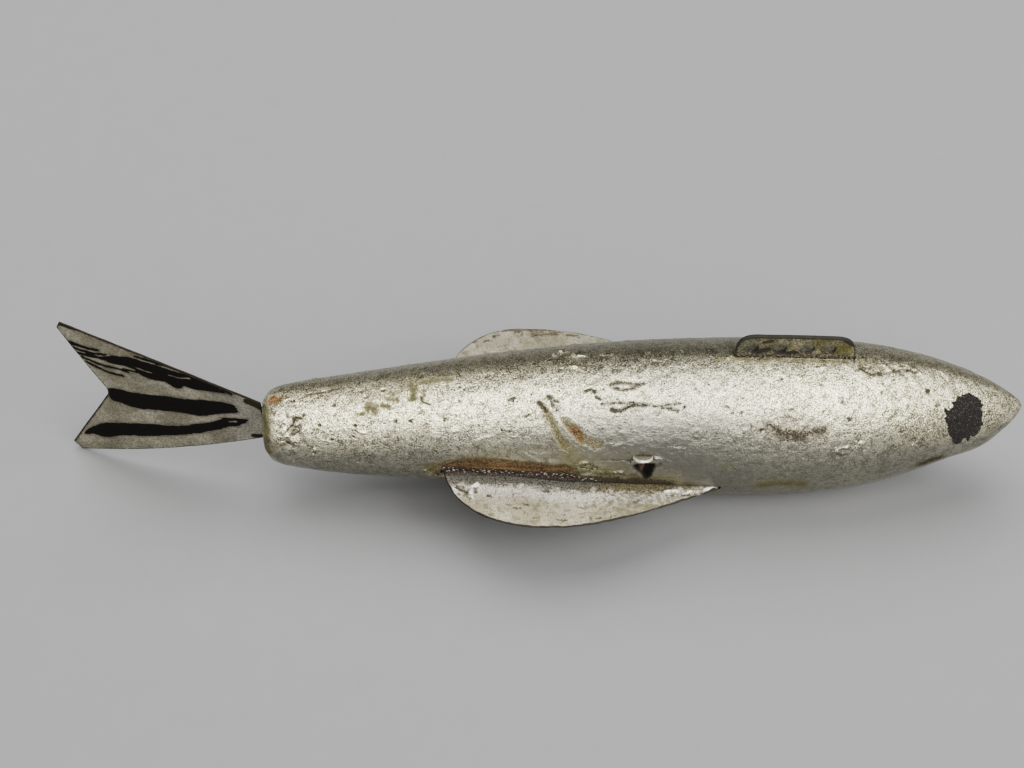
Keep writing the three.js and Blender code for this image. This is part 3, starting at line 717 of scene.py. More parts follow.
def makeBody(material):
    # rings at even distances along the back's profile, each with the section's columns, then
    # moved in and out along the skin's direction by the relief
    profile = np.stack([course[:, 0] * bodyLength, course[:, 1] * body["halfDepth"]], -1)
    along = evenly(profile, body["rings"] + 1)[:-1, 0]
    angles, girth = bodyAngles(along)
    points = skinPoint(along[:, None], angles)
    normals = rowNormals(points)
    places = np.stack(np.broadcast_arrays(along[:, None], girth), -1)
    mirrored = np.stack([places[..., 0], np.abs(girth)], -1)
    columns = angles.shape[1]
    firstCount, secondCount, _ = body["columns"]
    kerfWidth = len(body["kerfBundle"])
    rightFirst = len(body["crestBundle"]) + firstCount
    kerfColumns = {-1: rightFirst, 1: rightFirst + kerfWidth + secondCount}
    kerfLine = {side: girth[:, first + kerfWidth // 2] for side, first in kerfColumns.items()}
    finFront = fins["rear"] + fins["length"]
    inFin = smooth(along, fins["rear"] - 1, fins["rear"] + 1)
    inFin = inFin * (1 - smooth(along, finFront - 1, finFront + 1.5))

    # distance above the right kerf, and to the nearest line that was sawn
    above = kerfLine[-1][:, None] - girth
    toKerf = np.minimum(np.abs(above), np.abs(girth - kerfLine[1][:, None]))
    toKerf = np.where(inFin[:, None] > 0.5, toKerf, 9)

    ragged = roughness(points, 2.2, 11)
    wornFrom, wornUntil = marks["wearLine"][0][0], marks["wearLine"][-1][0]
    ends = np.minimum(along - wornFrom, wornUntil - along)[:, None] * 0.45
    wearTop = girth - lineAt(marks["wearLine"], along)[:, None]
    worn = np.minimum(np.minimum(wearTop, above + 0.9), ends) + 0.4 * ragged + 0.5
    belly = 1.3 - (points[..., 2] + axisHeight) + 0.5 * roughness(points, 5, 31)
    wood = insideAny(places, marks["wood"])
    darkFrom = lineAt(marks["darkFrom"], along)
    farther = lineAt(marks["backLine"], along)[:, None] - girth
    dirtReach = smooth(along, *kerfBand["from"]) * smooth(along, *kerfBand["until"])
    dirtBand = bell(toKerf, kerfBand["offset"], kerfBand["reach"])
    fields = {
        "eye": outlineDepth(mirrored, marks["eye"]),
        "rust": patchStrength(places, marks["rust"]) + kerfBand["strength"] * dirtReach[:, None] * dirtBand,
        "moss": patchStrength(places, marks["moss"]),
        "cracks": strokeDepth(places, marks["cracks"]),
        "olive": insideAny(places, marks["olive"]),
        "bare": np.maximum.reduce([worn, wood, belly]),
        "worn": np.where(wood > -0.4, 4, worn - 2.5 * smooth(along, 34, 29)[:, None]),
        "char": np.where(worn > -0.6, toKerf, 9),
        "lip": toKerf - 1.9 * smooth(worn, -0.2, 0.9),
        # how far below the line of painted shade each place lies, by the angle of the skin
        "under": smooth(darkFrom[:, None] - np.sin(angles), -0.3, 0.3),
        # darker over the middle of the body, and more so from the crest down its right side
        "darkerMiddle": bell(along, 70, 24)[:, None] * (0.38 + 0.50 * smooth(girth, 6, 16)),
        # beyond the back line: painted shade with some olive dirt
        "back": smooth(farther, -0.6, 1.6) * (1 - smooth(-girth, 9, 15)),
    }

    # relief, in millimetres along the skin's direction
    relief = carving["waves"] * valueNoise(points * (0.3, 1, 1), 6, 21)
    fineGrain = carving["grain"] * valueNoise(points, 0.7, 25)
    relief += carving["roughness"] * roughness(points, 1.6, 22) + fineGrain
    relief += carving["eye"] * smooth(fields["eye"] + 0.3 * ragged, 0, 0.25)
    for ridge in marks["ridges"]:
        relief += mound(places, *ridge)
    for place, radius in marks["pits"]:
        distance = np.linalg.norm(places - place, axis=-1) / radius
        rimHeight = carving["pitRim"] * bell(distance, 1.5, 0.4)
        relief += rimHeight - carving["pit"] * smooth(-distance, -1.2, -0.4)
        fields["cracks"] = np.maximum(fields["cracks"], radius * (0.8 - distance))
    relief -= carving["crack"] * smooth(fields["cracks"], -0.15, 0.12)
    relief -= carving["olive"] * smooth(fields["olive"] + 0.15 * ragged, -0.05, 0.2)
    relief -= carving["wood"] * smooth(wood, -0.05, 0.15)
    creases = roughness(points, 1.1, 41, 2)
    for path, reach, depth in crumples:
        relief += mound(places, path, reach, depth * creases, 4)
    relief -= carving["kerfWear"] * smooth(worn, -0.2, 1.6)
    fields["hollow"] = outlineDepth(places, splineThrough(nailPit["outline"], 3, closed=True))
    relief -= nailPit["depth"] * smooth(fields["hollow"], -0.1, 0.6)
    crumbs = roughness(points, 0.8, 51, 2)
    crumbBand = bell(toKerf, 0.8, 1.1) * smooth(worn, -1.5, 0.3)
    relief += carving["crumbs"] * crumbBand * smooth(crumbs, 0.0, 0.7)
    fields["crumb"] = crumbBand
    picker = np.random.default_rng(strewn["seed"])
    for _ in range(strewn["curls"]):
        start = picker.uniform((4, -24), (128, 23))
        turn, length, high = picker.uniform((-0.8, 0.5, 0.08), (0.8, 1.7, 0.24))
        curl = [start, start + np.array([np.cos(turn), np.sin(turn)]) * length]
        relief += mound(places, curl, 0.2, high) * (fields["eye"] < -0.5)
    for _ in range(strewn["holes"]):
        place, radius = picker.uniform((3, -24), (134, 23)), picker.uniform(0.16, 0.36)
        distance = np.linalg.norm(places - place, axis=-1) / radius
        relief -= carving["hole"] * bell(distance, 0, 1)
        fields["cracks"] = np.maximum(fields["cracks"], radius * (0.7 - distance))
    points = points + normals * relief[..., None]

    # kerfs: the bundle's inner columns go down to the kerf's floor
    inKerf = np.zeros(girth.shape)
    reach = (along > fins["rear"] - fins["gap"]) & (along < finFront + fins["gap"])
    opening = fins["thickness"] / 2 + fins["gap"]
    floorDepth = np.full(reach.sum(), -fins["tang"] - fins["gap"])
    kerfFloor = np.stack([along[reach] - fins["rear"], floorDepth], -1)
    for side, first in kerfColumns.items():
        for step, height in zip((1, 2, 3), (opening, 0, -opening)):
            points[reach, first + step] = finPoint(side, kerfFloor, -side * height)
            inKerf[reach, first + step] = 1
    tieReach = (along > tie["rear"] - fins["gap"]) & (along < tieFront + fins["gap"])
    for column, outward in zip((columns - 1, 0, 1), (1, 0, -1)):
        points[tieReach, column, 1] = outward * (tie["thickness"] / 2 + fins["gap"])
        points[tieReach, column, 2] = tieBottom - fins["gap"]
        inKerf[tieReach, column] = 1
    fields["kerf"] = inKerf
    points[..., 2] = np.maximum(points[..., 2], -axisHeight)

    # the sawn end: from the rim in to the mouth of the tail's slot, down the slot to its floor
    rim = points[0]
    slotY = (tail["thickness"] / 2 + fins["gap"]) * np.clip(np.cos(angles[0]) * 8, -1, 1)
    slotZ = tail["tangCentre"] + (tail["tangHeight"] / 2 + fins["gap"]) * np.sin(angles[0])
    mouth = np.stack([np.zeros(columns), slotY, slotZ], -1)
    shares = np.linspace(0, 1, 10)[1:-1, None, None]
    face = mouth * (1 - shares) + rim * shares
    sawn = roughness(face, 1.5, 61)
    face[..., 0] = -carving["sawnEnd"] * (1 - shares[..., 0] ** 6)
    face[..., 0] += carving["sawnEnd"] * sawn
    floor = mouth + (tail["tang"] + fins["gap"], 0, 0)
    ends = np.stack([floor, mouth * 0.5 + floor * 0.5, mouth])
    grid = np.concatenate([ends, face, points])

    def withEnds(values, inner, faceValue):
        # a field with one value down the slot and one over the sawn face before its own
        front = np.repeat([inner, faceValue], [len(ends), len(face)])[:, None] * np.ones(columns)
        return np.concatenate([front, values]).ravel()

    faces = gridFaces(len(grid), columns, around=True)
    total = grid.shape[0] * columns
    faces += [[total, (k + 1) % columns, k] for k in range(columns)]
    lastRow = total - columns
    faces += [[total + 1, lastRow + k, lastRow + (k + 1) % columns] for k in range(columns)]
    poles = [[floor[0, 0], 0, tail["tangCentre"]], [bodyLength, 0, float(sectionAt(bodyLength)[2])]]
    allPoints = np.concatenate([grid.reshape(-1, 3), poles]) + fishPlace
    innerValues = {"kerf": 1.0, "rust": 0.3, "moss": 0.5, "lip": 9.0, "char": 9.0}
    faceValues = {"rust": 0.8, "moss": 0.9, "lip": 9.0, "char": 9.0, "bare": -0.3}
    packed = {}
    for name, values in fields.items():
        quiet = farOutside if name in ("eye", "cracks", "olive", "bare", "worn", "hollow") else 0.0
        inner = innerValues.get(name, quiet)
        spread = withEnds(values, inner, faceValues.get(name, quiet))
        packed[name] = np.concatenate([spread, [inner, values[-1].mean()]])
    makePiece("whittledBody", allPoints, faces, material, "body", packed)


def silverWood():
    # grainy silver paint, dulled in patches, over an olive coat and bare wood; painted shade darkens the
    # lower side, the far side of the crest, the sawn slots and the nail's pit
    look = Look("silverPaintOnWood")
    grain = look.noise(0.25, 2)
    fine = look.noise(0.16, 1)
    blots = look.noise(0.9, 3, distortion=0.5)
    lumps = look.noise(1.3, 4)
    patches = look.noise(9, 4)
    streaks = look.noise(0.6, 3, stretch=(0.08, 1, 1))
    dots = look.plus(look.times(blots, 0.35), grain, 0.65)
    silver = look.tones(patches, 0.35, 0.65, (0.90, 0.83, 0.56), (1.0, 0.94, 0.655))
    shade = look.times(look.math("SUBTRACT", lumps, 0.5), 0.55)
    speckle = look.plus(grain, shade)
    silver = look.mix(look.ramp(speckle, 0.41, 0.52, 1, 0), silver, (0.10, 0.09, 0.052))
    silver = look.mix(look.ramp(fine, 0.43, 0.53, 0.95, 0), silver, (0.12, 0.11, 0.067))
    # painted shade: the lower side, by the angle of its skin, mixed towards a dark grey
    lowerSideShade = look.times(look.field("under"), look.ramp(streaks, 0.3, 0.7, 0.75, 1))
    silver = look.mix(lowerSideShade, silver, look.tones(speckle, 0.4, 0.6, (0.13, 0.124, 0.098), (0.31, 0.30, 0.24)))
    # darker over the middle of the body, and more so down its right side
    silver = look.mix(look.field("darkerMiddle"), silver, (0.16, 0.155, 0.13))
    # painted shade on the far side of the crest, with some olive dirt
    silver = look.mix(look.times(look.field("back"), 0.3), silver, (0.30, 0.285, 0.2))
    pores = look.plus(look.spots(1.5), lumps, 0.5)
    specks = look.most(look.ramp(pores, 0.28, 0.36, 1, 0), look.ramp(dots, 0.66, 0.72))
    silver = look.mix(look.times(specks, 0.85), silver, (0.04, 0.034, 0.018))

    mossAt = look.field("moss")
    mossy = look.ramp(look.plus(dots, mossAt, 0.16), 0.60, 0.70)
    colour = look.mix(look.ramp(mossAt, 0.1, 1.0, 0, 0.5), silver, (0.20, 0.185, 0.08))
    mossTone = look.tones(dots, 0.44, 0.60, (0.022, 0.018, 0.007), (0.16, 0.145, 0.055))
    colour = look.mix(look.times(mossy, 0.9), colour, mossTone)
    rustAt = look.field("rust")
    rusty = look.ramp(look.plus(dots, rustAt, 0.16), 0.62, 0.69)
    rustTone = look.tones(fine, 0.40, 0.60, (0.012, 0.008, 0.005), (0.09, 0.07, 0.04))
    colour = look.mix(look.ramp(rustAt, 0, 1, 0, 0.4), colour, (0.2, 0.17, 0.12))
    colour = look.mix(look.times(rusty, 0.95), colour, rustTone)
    olive = look.times(look.ragged("olive", dots, 2.2, 0.4), look.ramp(grain, 0.62, 0.52, 0.12, 0.95))
    oliveTone = look.tones(fine, 0.40, 0.60, (0.045, 0.037, 0.014), (0.36, 0.31, 0.15))
    colour = look.mix(olive, colour, oliveTone)
    woodGrain = look.noise(0.6, 4, stretch=(0.08, 1, 1))
    wood = look.tones(woodGrain, 0.32, 0.68, (0.12, 0.06, 0.02), (0.36, 0.20, 0.075))
    wood = look.mix(look.ramp(look.field("worn"), 3.0, 3.9, 0.6, 0), wood, (0.06, 0.027, 0.008))
    wood = look.mix(look.ramp(fine, 0.54, 0.62, 0, 0.5), wood, (0.50, 0.36, 0.18))
    edging = look.plus(look.field("worn"), dots, 4.2)
    wood = look.mix(look.ramp(edging, 2.6, 4.2, 0.9, 0), wood, oliveTone)
    wood = look.mix(look.ramp(speckle, 0.42, 0.53, 0.9, 0), wood, (0.028, 0.015, 0.006))
    charAt = look.plus(look.field("char"), dots, 3.4)
    charTone = look.tones(fine, 0.5, 0.6, (0.014, 0.007, 0.005), (0.13, 0.09, 0.055))
    wood = look.mix(look.ramp(charAt, 2.7, 4.8, 0.93, 0), wood, charTone)
    bare = look.ragged("bare", dots, 2.8, 0.3)
    colour = look.mix(bare, colour, wood)
    cracks = look.ragged("cracks", dots, 2.4, 0.12)
    colour = look.mix(look.times(cracks, 0.9), colour, (0.035, 0.029, 0.014))
    lipDirt = look.step("lip", dots, 1.8, 0.9, 1.8, 1, 0)
    lipTone = look.tones(fine, 0.48, 0.6, (0.007, 0.004, 0.003), (0.11, 0.08, 0.055))
    colour = look.mix(lipDirt, colour, lipTone)
    crumbs = look.ramp(look.plus(look.spots(0.6), blots, 0.6), 0.60, 0.68, 1, 0)
    crumb = look.times(crumbs, look.ramp(look.field("crumb"), 0.12, 0.45))
    colour = look.mix(crumb, colour, look.tones(fine, 0.4, 0.6, (0.14, 0.11, 0.08), (0.85, 0.78, 0.68)))
    eye = look.ragged("eye", look.noise(0.4, 3), 1.0, 0.05)
    eyeTone = look.tones(grain, 0.56, 0.68, (0.012, 0.0095, 0.008), (0.10, 0.09, 0.072))
    colour = look.mix(eye, colour, eyeTone)
    # painted shade: the sawn slots and the nail's pit nearly black
    dark = look.most(look.field("kerf"), look.ragged("hollow", grain, 0.5, 0.15))
    colour = look.mix(dark, colour, (0.010, 0.0055, 0.004))

    scraped = look.most(bare, olive, cracks, dark)
    dirty = look.most(rusty, mossy, lipDirt, crumb)
    dull = look.most(scraped, dirty, eye, specks)
    rough = look.blend(dull, look.ramp(patches, 0.3, 0.7, 0.34, 0.40), 0.85)
    sunk = look.most(scraped, specks, rusty, mossy)
    reliefs = [(speckle, 0.10), (lumps, 0.14), (look.math("SUBTRACT", 1, sunk), 0.07), (streaks, 0.04)]
    return look.finish(colour, look.ramp(dull, 0, 1, 0.97, 0), rough, reliefs, specular=0.12)


# Sheet-metal pieces

def coonsPatch(bottom, top, left, right):
    # fills four edge curves: the two ruled surfaces between opposite edges, added, less the
    # flat blend of the four corners
    u = np.linspace(0, 1, len(bottom))[:, None, None]
    v = np.linspace(0, 1, len(left))[None, :, None]
    ruled = bottom[:, None] * (1 - v) + top[:, None] * v + left[None] * (1 - u) + right[None] * u
    corners = (bottom[0] * (1 - u) + bottom[-1] * u) * (1 - v) + (top[0] * (1 - u) + top[-1] * u) * v
    return ruled - corners


def borderOf(rows, columns):
    # numbers of a grid's border points in order round it
    index = np.arange(rows * columns).reshape(rows, columns)
    return np.concatenate([index[:-1, 0], index[-1, :-1], index[:0:-1, -1], index[0, :0:-1]])


def inwardSteps(loop):
    # unit directions that point into a closed flat loop of points
    run = np.roll(loop, -1, axis=0) - np.roll(loop, 1, axis=0)
    run /= np.linalg.norm(run, axis=1, keepdims=True) + 1e-9
    turn = np.stack([-run[:, 1], run[:, 0]], -1)
    following = np.roll(loop, -1, axis=0)
    area = (loop[:, 0] * following[:, 1] - following[:, 0] * loop[:, 1]).sum()
    return turn * np.sign(area)


def sheetMesh(flat, thickness, roundness):
    # two copies of a flat grid, half the thickness up and down, joined round the border by
    # a rounded rim; the border of each copy is drawn in by the roundness.
    # Returns flat places, heights and faces
    rows, columns = flat.shape[:2]
    border = borderOf(rows, columns)
    places = flat.reshape(-1, 2).copy()
    loop = places[border].copy()
    inward = inwardSteps(loop)
    places[border] += inward * roundness
    half = thickness / 2
    count = len(places)
    rimShares = ((0.3, 0.72), (0.0, 0.25), (0.0, -0.25), (0.3, -0.72))
    rims = [loop + inward * roundness * share for share, _ in rimShares]
    rimHeights = [np.full(len(loop), half * level) for _, level in rimShares]
    allPlaces = np.concatenate([places, places, *rims])
    heights = np.concatenate([np.full(count, half), np.full(count, -half), *rimHeights])
    quads = np.array(gridFaces(rows, columns))
    faces = quads.tolist() + (quads[:, ::-1] + count).tolist()
    rimRings = [2 * count + k * len(loop) + np.arange(len(loop)) for k in range(len(rims))]
    rings = [border, *rimRings, border + count]
    for upper, lower in zip(rings[:-1], rings[1:]):
        following = np.stack([upper, np.roll(upper, -1), np.roll(lower, -1), lower], -1)
        faces += following.tolist()
    return allPlaces, heights, faces


def rimDistance(places, flat):
    # distance from each place to the border of a flat grid
    loop = flat.reshape(-1, 2)[borderOf(*flat.shape[:2])]
    return pathDistance(places, [*loop, loop[0]])


tail = {
    "thickness": 0.45, "length": 38.6, "top": 17.1, "rootTop": 5.6, "rootBottom": 4.1,
    "upperShort": 3.3, "upperBow": (0.4, 0.8), "lowerBow": (0.46, 0.66),
    "forkDepth": 10, "forkHeight": 1.7, "tipBlunt": 1.5,
    "tang": 7, "tangHeight": 8, "tangCentre": 0.4,
    "lean": 0.14, "bend": 4.5, "topBend": 1.3,
    "columns": 150, "levels": 120,
    # brush strokes as outlines (distance behind the body, height), and single bristle lines
    "strokes": [
        [
            (32.7, 10.3), (30.9, 11.1), (28.8, 11.0), (26.5, 12.0), (24.4, 12.5), (22.6, 12.7),
            (20.2, 12.3), (16.3, 11.6), (13.1, 11.0), (10.7, 10.2), (8.5, 9.3), (7.3, 8.5), (6.4, 7.5),
            (7.3, 7.4), (8.8, 7.5), (10.4, 7.4), (12.3, 7.2), (13.8, 7.7), (14.6, 6.9), (15.5, 6.7),
            (16.4, 7.3), (17.6, 7.9), (20.1, 8.0), (22.0, 8.7), (22.8, 9.6), (24.0, 10.0),
            (26.0, 9.9), (27.6, 10.1), (28.7, 10.4), (30.6, 10.3),
        ],
        [
            (28.7, 2.7), (26.9, 3.2), (24.7, 3.1), (21.6, 3.3), (17.4, 4.0), (14.4, 4.1), (11.4, 4.6),
            (9.1, 4.8), (5.8, 4.7), (5.0, 3.9), (4.8, 2.4), (6.1, 2.0), (9.5, 0.9), (11.3, 0.1),
            (13.8, -0.1), (17.1, -0.1), (21.1, -0.8), (24.4, -1.1), (26.5, -0.7), (28.5, -0.3),
            (28.9, 1.3),
        ],
        [
            (35.9, -12.2), (34.8, -10.5), (32.2, -8.2), (30.2, -7.1), (26.7, -6.1), (22.9, -5.1),
            (16.9, -4.1), (13.3, -2.7), (9.8, -1.2), (7.6, 0.3), (6.3, 0.5), (3.0, 0.7), (4.9, -1.4),
            (6.6, -1.9), (9.1, -3.4), (11.5, -4.5), (14.0, -5.7), (18.1, -7.1), (22.6, -8.6),
            (25.3, -9.2), (28.4, -10.1), (30.5, -11.3), (32.1, -11.7), (34.1, -11.8),
        ],
    ],
    "bristles": [
        ([(34.8, 12.8), (32.4, 12.6), (31.0, 12.3), (29.0, 12.6)], 0.36),
        ([(34.0, 11.8), (32.0, 11.4), (30.0, 11.4), (27.6, 11.9)], 0.3),
        ([(33.0, 10.6), (31.4, 10.5), (29.6, 10.6)], 0.3),
        ([(31.6, 8.7), (29.7, 7.9), (27.7, 7.3), (25.2, 7.2)], 0.28),
        ([(32.2, 9.7), (30.7, 9.3), (28.5, 8.8), (26.0, 8.9), (24.0, 8.5)], 0.28),
        ([(24.8, 9.2), (22.4, 8.9)], 0.24),
        ([(35.4, 16.8), (34.0, 16.6), (32.6, 16.5)], 0.26),
        ([(22.0, 13.2), (15.6, 12.2), (9.6, 10.4), (5.4, 7.4)], 0.34),
    ],
    # dirt: path, reach, strength
    "dirt": [
        ([(2.6, 5.9), (1.1, 5.2), (0.0, 4.4)], 1.0, 1.0),
        ([(2.4, -3.9), (0.0, -3.8)], 0.7, 1.0),
        ([(0.1, -3.6), (0.1, 4.4)], 0.4, 1.0),
    ],
    # where the black is scraped off again
    "scrapes": [
        ([(16.4, 10.0), (14.7, 9.7), (12.6, 10.1)], 0.14),
        ([(6.6, -0.6), (5.4, -0.4)], 0.2),
        ([(22.4, 10.2), (19.4, 9.6)], 0.1),
    ],
}


def tailPoint(flat, height):
    # the sheet leaves the body at a lean, and bends further left the further back it goes
    behind = -flat[..., 0]
    share = np.maximum(behind, 0) / tail["length"]
    offset = tail["lean"] * np.maximum(behind, 0) + tail["bend"] * share ** 2
    offset = offset + tail["topBend"] * share * flat[..., 1] / tail["top"]
    waves = 0.12 * share * valueNoise(lifted(flat, 0), 9, 71)
    return np.stack([flat[..., 0], offset + waves + height, flat[..., 1]], -1)


def makeTail(material):
    # the outline is a tang, two bowed edges and a fork with a rounded notch; it is filled,
    # thickened and bent, and carries the depth of each place inside the painted strokes
    tangTop = tail["tangCentre"] + tail["tangHeight"] / 2
    tangBottom = tail["tangCentre"] - tail["tangHeight"] / 2
    root = -fins["gap"]
    lobe = tail["upperShort"] - tail["length"]
    tip = -tail["length"]
    upperControl = (-tail["upperBow"][0] * tail["length"], tail["upperBow"][1] * tail["top"])
    lowerControl = (-tail["lowerBow"][0] * tail["length"], -tail["lowerBow"][1] * axisHeight)
    upper = bezier([(root, tail["rootTop"]), upperControl, (lobe, tail["top"])], 200)
    lower = bezier([(root, -tail["rootBottom"]), lowerControl, (tip + tail["tipBlunt"], -axisHeight)], 200)
    tangColumns = 16
    forwards = np.linspace(tail["tang"], root, tangColumns)
    upperTang = np.stack([forwards, np.full(tangColumns, tangTop)], -1)
    lowerTang = np.stack([forwards, np.full(tangColumns, tangBottom)], -1)
    top = np.concatenate([upperTang, evenly(upper, tail["columns"])])
    bottom = np.concatenate([lowerTang, evenly(lower, tail["columns"])])
    fork = (tail["forkDepth"] - tail["length"], tail["forkHeight"])
    half = tail["levels"] // 2
    upperTip = (lobe - tail["tipBlunt"] / 2, tail["top"] - tail["tipBlunt"])
    lowerTip = (tip, tail["tipBlunt"] - axisHeight)
    lowerFork = evenly(np.array([bottom[-1], lowerTip, fork]), half)
    upperFork = evenly(np.array([fork, upperTip, top[-1]]), half + 1)[1:]
    right = np.concatenate([lowerFork, upperFork])
    right[:, 0] -= 0.35 * bell(np.linalg.norm(right - fork, axis=1), 0, 0.5)
    left = np.stack([np.full(2 * half, tail["tang"]), np.linspace(tangBottom, tangTop, 2 * half)], -1)
    flat = coonsPatch(bottom, top, left, right)
    places, heights, faces = sheetMesh(flat, tail["thickness"], 0.14)
    nicks = 0.06 * roughness(lifted(places, 0), 3, 73)
    behindPlaces = np.stack([-places[:, 0], places[:, 1]], -1)
    outlines = [splineThrough(stroke, 4, closed=True) for stroke in tail["strokes"]]
    strokes = insideAny(behindPlaces, outlines)
    strokes = np.maximum(strokes, strokeDepth(behindPlaces, tail["bristles"]))
    strokes = np.minimum(strokes, -strokeDepth(behindPlaces, tail["scrapes"]))
    points = tailPoint(places, heights + nicks * 0.5)
    points[:, 2] = np.maximum(points[:, 2], -axisHeight)
    fields = {
        "edge": rimDistance(places, flat),
        "stroke": strokes,
        "root": -places[:, 0],
        "dirt": patchStrength(behindPlaces, tail["dirt"]),
    }
    makePiece("tailSheet", points + fishPlace, faces, material, "tail_fin", fields, 60)


def tailMetal():
    # grey tinned sheet, mottled, dark along its edges, with strokes of black paint brushed
    # from the fork towards the body
    look = Look("tailSheetMetal")
    grain = look.noise(0.4, 4)
    mottle = look.noise(5, 5)
    brush = look.noise(0.5, 4, stretch=(0.07, 1, 1))
    colour = look.tones(mottle, 0.35, 0.65, (0.26, 0.24, 0.165), (0.45, 0.42, 0.32))
    colour = look.mix(look.ramp(look.field("root"), 2, 12, 0.6, 0), colour, (0.36, 0.35, 0.31))
    colour = look.mix(look.ramp(grain, 0.43, 0.55, 0.6, 0), colour, (0.12, 0.105, 0.068))
    bristles = look.plus(look.times(brush, 0.8), grain, 0.2)
    stain = look.step("stroke", bristles, 2.4, 0.4, 1.5, 0, 0.7)
    colour = look.mix(stain, colour, (0.06, 0.048, 0.027))
    painted = look.ragged("stroke", bristles, 0.9, 0.07)
    colour = look.mix(painted, colour, look.mix(grain, (0.002, 0.0016, 0.001), (0.009, 0.007, 0.005)))
    rim = look.step("edge", grain, 0.5, 0.3, 0.75, 1, 0)
    colour = look.mix(rim, colour, (0.02, 0.016, 0.010))
    dirt = look.step("dirt", grain, 0.8, 0.75, 1.05)
    colour = look.mix(dirt, colour, (0.022, 0.019, 0.010))
    dull = look.most(painted, rim, dirt)
    rough = look.blend(dull, look.ramp(mottle, 0.3, 0.7, 0.34, 0.46), 0.85)
    reliefs = [(mottle, 0.25), (brush, 0.04), (grain, 0.03)]
    return look.finish(colour, look.ramp(dull, 0, 1, 0.85, 0), rough, reliefs, specular=0.05)


finLook = {
    "endBreadth": 1.4,
    "widest": 0.33,
    "crown": 0.27,
    "heelBow": (0.02, 0.6),
    "frontBow": (0.72, 0.63),
    "columns": 190,
    "levels": 64,
    # by side: where the painted shadow and dirt along the kerf end, dark chips, and paint standing up
    "shadowAndDirtEnds": {
        -1: [
            (0, 2.4), (1.6, 1.5), (4.5, 1.6), (7.1, 1.5), (11.6, 1.5), (15.3, 1.7), (18.9, 2.5),
            (25.5, 3.3), (27.6, 2.6), (32.5, 2.9), (36.5, 3.3), (39.7, 2.6), (45, 1.6), (50.4, 0.6),
        ],
        1: [(0, 0.6), (50.4, 0.6)],
    },
    "crustEnds": {
        -1: [
            (0, -1.0), (7, -1.0), (14.4, -1.1), (18, -0.5), (22, 0), (29.4, 0.2), (36.6, 0.4), (42, 0.3),
            (46, -0.2), (50.4, -1),
        ],
        1: [(0, -2), (50.4, -2)],
    },
    "chips": {
        -1: [
            ([(5.9, 3.4), (5.8, 2.7), (6.0, 2.0)], 0.34),
            ([(2.6, 2.0), (3.6, 2.9), (4.4, 3.6)], 0.60), ([(1.6, 2.0), (2.1, 2.7)], 0.26),
            ([(4.2, 2.4), (5.2, 3.4)], 0.30), ([(40.2, 3.5), (44, 3.3), (47.6, 2.6)], 0.10),
            ([(2.9, 3.7), (3.6, 4.0)], 0.24), ([(4.4, 4.7), (4.9, 5.2)], 0.26),
            ([(12.6, 4.2), (13.3, 4.3)], 0.22), ([(11.2, 6.3), (11.9, 6.5)], 0.26),
            ([(12.7, 7.2), (14.0, 7.3)], 0.22), ([(14.5, 6.2), (15.2, 6.4)], 0.26),
            ([(24.0, 6.7), (24.6, 6.8)], 0.20), ([(26.0, 9.8), (28.0, 9.5)], 0.22),
            ([(30.1, 8.9), (30.8, 8.8)], 0.21), ([(18.3, 2.8), (19.2, 2.7)], 0.26),
            ([(7.8, 4.1), (8.5, 4.2)], 0.20), ([(20.5, 10.1), (22.0, 10.2)], 0.20),
            ([(34.5, 5.2), (35.2, 5.1)], 0.20), ([(9.4, 7.9), (10.0, 8.2)], 0.18),
        ],
        1: [
            ([(13.6, 10.9), (14.6, 10.4), (15.6, 10.4)], 0.5), ([(17.8, 9.6), (19.6, 9.7)], 0.5),
            ([(20.2, 9.9), (22.4, 10.1)], 0.45), ([(6.2, 7.9), (6.8, 8.0)], 0.3),
            ([(8.6, 8.1), (9.2, 8.3)], 0.28), ([(11.5, 10.6), (24.0, 11.0)], 0.3),
            ([(24.5, 9.8), (26.5, 9.6)], 0.3), ([(10.4, 9.2), (11.2, 9.5)], 0.3),
        ],
    },
    "ridges": {
        -1: [
            ([(40.4, 2.6), (41.9, 2.2), (44.3, 2.5), (46.5, 2.1), (49.6, 1.4)], 0.34, 0.3),
            ([(5.2, 4.6), (5.0, 3.3), (5.2, 2.2), (6.3, 1.4)], 0.3, 0.6),
            ([(1.2, 1.8), (2.6, 3.0), (5.0, 4.4)], 0.26, 0.24),
        ],
        1: [([(7.8, 5.5), (9.0, 5.7), (10.6, 5.9)], 0.14, 0.1)],
    },
}


def finPatch(side):
    # the fin's flat outline: straight along its tang, a curved heel, then the long free edge
    length, tang, endBreadth = fins["length"], fins["tang"], finLook["endBreadth"]
    levels, columns = finLook["levels"], finLook["columns"]
    breadth = (fins["span"] / 2 - kerfOut[side]) / np.cos(fins["rise"])
    widest = finLook["widest"] * length
    heelX, heelY = finLook["heelBow"]
    frontX, frontY = finLook["frontBow"]
    heel = bezier([
        (0, -tang), (heelX * length, heelY * breadth), (widest / 2, breadth), (widest, breadth),
    ], 200)
    front = bezier([
        (widest, breadth), (widest + finLook["crown"] * length, breadth),
        (frontX * length, frontY * breadth), (length, endBreadth),
    ], 200)
    outline = np.concatenate([heel, front[1:]])
    corner = 110
    left = evenly(outline[:corner + 1], levels)
    top = evenly(outline[corner:], columns)
    bottom = np.stack([np.linspace(0, length, columns), np.full(columns, -tang)], -1)
    right = np.stack([np.full(levels, length), np.linspace(-tang, endBreadth, levels)], -1)
    return coonsPatch(bottom, top, left, right)


